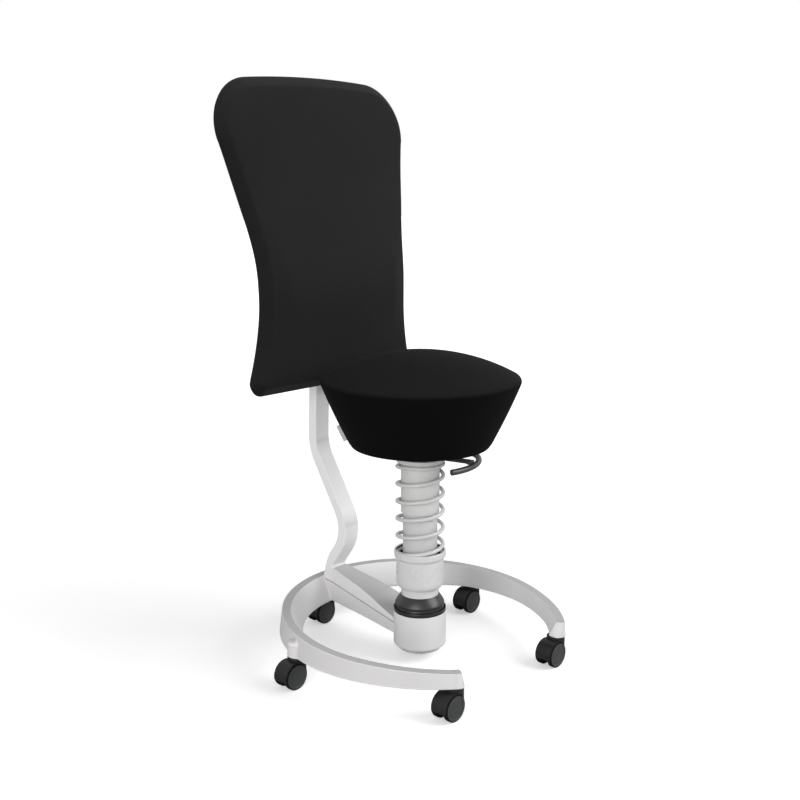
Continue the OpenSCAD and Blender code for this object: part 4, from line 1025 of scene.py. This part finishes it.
def housing_shape():
    """Hood, web, swivel block and stem."""
    hood = fillet([(27.7, -17.4), (27.7, 17.4), (26.6, 17.4), (26.6, 8.2), (4.1, 8.2),
                   (4.1, -8.2), (26.6, -8.2), (26.6, -17.4)],
                  [0.6, 0.6, 0.2, 0.6, 0, 0, 0.6, 0.2], closed=True, steps=3)
    s = Shape().lathe(hood, segments=84, axes=axle_axes(-1),
                      sweep=(math.radians(-12.3), math.radians(192.3)))
    block_r, block_z = 18.5, 57.8
    around = np.linspace(0, 2 * math.pi, 72, endpoint=False)

    def level(r, height):
        return [(x, y, height(x)) for x, y in arc(0, 0, around, r)]
    block = [level(r, lambda x: z) for r, z in (
        (0.0, 58.7), (8.0, 58.7), (12.5, 58.7), (13.0, 59.0), (17.3, 59.0), (17.9, 58.85),
        (18.3, 58.5), (block_r, block_z))]
    block += [level(block_r, lambda x: block_z + (well(x) + 0.6 - block_z) * f)
              for f in np.linspace(0, 1, 8)[1:]]
    block += [level(r, well) for r in (18.1, 17.2, 14, 10, 6, 2, 0.0)]
    s.loft(block, caps=False)
    return s.lathe([(0, 58), (5.5, 58), (5.5, 78.4), (4.9, 79.4), (0, 79.9)], segments=32)


def wheel_shape(side):
    """Wheel of one side, from its flat inner face to its dished disc."""
    profile = fillet([(0, 9.2), (24.6, 9.2), (26.0, 10.6), (26.0, 18.4), (25.2, 19.6),
                      (23.8, 20.0), (20.6, 20.0), (19.6, 19.1), (18.6, 18.9), (17.4, 19.5),
                      (9, 19.8), (0, 19.9)],
                     [0, 0.4, 1.0, 0.9, 0.6, 0.5, 0.7, 0.4, 0.3, 0.8, 6, 0], steps=4)
    return Shape().lathe(profile, axes=axle_axes(side))


for k, (body, at) in enumerate(CASTORS.items(), 1):
    housing_shape().moved(at).build("castor_body_%d" % k, "castor_plastic", body,
                                    "castor_housing_%d" % k, sharp=42)
    for letter, side, label in (("a", -1, "near"), ("b", 1, "far")):
        disc = wheel_shape(side).moved(at).build(
            "castor_disc_%d%s" % (k, letter), "wheel_plastic", body + "_wheel_" + label,
            "castor_wheel_%d%s" % (k, letter), sharp=42)
        # The rolling band and its shoulder are darker than the disc's face: the tyre's own tone,
        # made darker still as painted shade in the gap at the hood's edge
        recolour(disc, "tread_and_gap_shade", lambda x, y, z: side * (y - at[1]) < 17 or
                 math.hypot(x - at[0] + TRAIL, z - WHEEL_R) > 24.1)

# ---------------------------------------------------------------- floor and world
FLOOR_HALF = 14
# Strength of the glow by distance from the column, 0.1 being 1 m
FLOOR_GLOW = [(0.06, 0.36), (0.12, 0.50), (0.28, 0.80), (0.60, 1.0)]
SKY = [(0.0, 0.92), (0.35, 0.55), (1.0, 0.22)]  # grey by height, the same below the horizon

floor_mesh = bpy.data.meshes.new("studio_floor")
floor_mesh.from_pydata([(x * FLOOR_HALF, y * FLOOR_HALF, 0)
                        for x, y in ((-1, -1), (1, -1), (1, 1), (-1, 1))], [], [(0, 1, 2, 3)])
floor = bpy.data.objects.new("studio_floor", floor_mesh)
scene.collection.objects.link(floor)
fnt, unused_bsdf = new_material("studio_floor")
fnt.nodes.remove(unused_bsdf)
reach = add(fnt, "VectorMath", {0: texture_space(fnt)}, operation="LENGTH")
glow_by = ramp(fnt, maths(fnt, "MULTIPLY", reach.outputs["Value"], 0.1), FLOOR_GLOW)
glow = add(fnt, "Emission", {"Strength": glow_by})
pale = add(fnt, "BsdfDiffuse", {"Color": (0.92, 0.92, 0.925, 1)})
grey = add(fnt, "BsdfDiffuse", {"Color": (0.62, 0.62, 0.62, 1)})
seen = add(fnt, "AddShader", {0: glow.outputs[0], 1: pale.outputs[0]})
is_camera = fnt.nodes.new("ShaderNodeLightPath").outputs["Is Camera Ray"]
mix = add(fnt, "MixShader", {0: is_camera, 1: grey.outputs[0], 2: seen.outputs[0]})
feed(fnt, fnt.nodes["Material Output"], {"Surface": mix.outputs[0]})
floor_mesh.materials.append(M["studio_floor"])

world = bpy.data.worlds.new("studio")
world.use_nodes = True
scene.world = world
wnt = world.node_tree
height = add(wnt, "SeparateXYZ", {0: texture_space(wnt, "Generated")}).outputs["Z"]
lit = wnt.nodes["Background"]
feed(wnt, lit, {"Color": ramp(wnt, maths(wnt, "ABSOLUTE", height), SKY), "Strength": 1.0})
white = add(wnt, "Background", {"Color": (1, 1, 1, 1), "Strength": 1.0})
ray = wnt.nodes.new("ShaderNodeLightPath").outputs
shown = maths(wnt, "MAXIMUM", ray["Is Camera Ray"], ray["Is Glossy Ray"])
shown = maths(wnt, "MAXIMUM", shown, ray["Is Transmission Ray"])
mix = add(wnt, "MixShader", {0: shown, 1: lit.outputs[0], 2: white.outputs[0]})
feed(wnt, wnt.nodes["World Output"], {"Surface": mix.outputs[0]})

# ---------------------------------------------------------------- lights and camera
AHEAD, RIGHT = Vector((0.733, 0.680, 0)), Vector((0.680, -0.733, 0))
LIT_POINT = Vector((0, 0, 0.45))


def area_light(name, at, size, watts, colour=(1, 1, 1)):
    data = bpy.data.lights.new(name, "AREA")
    data.shape = "DISK"
    data.size = size
    data.energy = watts
    data.color = colour
    obj = bpy.data.objects.new(name, data)
    scene.collection.objects.link(obj)
    obj.location = at
    obj.rotation_euler = (LIT_POINT - at).to_track_quat("-Z", "Y").to_euler()


area_light("key_right", Vector((1.4, -2.15, 1.9)), 2.4, 66, (0.985, 0.992, 1.0))
area_light("front", AHEAD * -2.8 + RIGHT * -0.2 + Vector((0, 0, 1.35)), 2.0, 8)
area_light("fill_left", Vector((-2.7, -0.9, 1.0)), 2.0, 42, (1.0, 0.99, 0.98))

cam_data = bpy.data.cameras.new("camera")
cam_data.sensor_width = 36.0
cam_data.lens = 52.425
camera = bpy.data.objects.new("camera", cam_data)
scene.collection.objects.link(camera)
look = Vector((0.71814553, 0.6657707, -0.20252498))
right = Vector((0.67985936, -0.73334252, 0.0)).normalized()
up = right.cross(look).normalized()
turn = Matrix((right, up, -look)).transposed()
camera.matrix_world = Matrix.Translation((-1.68838, -1.50965, 1.00794)) @ turn.to_4x4()
scene.camera = camera
scene.view_settings.view_transform = "Standard"
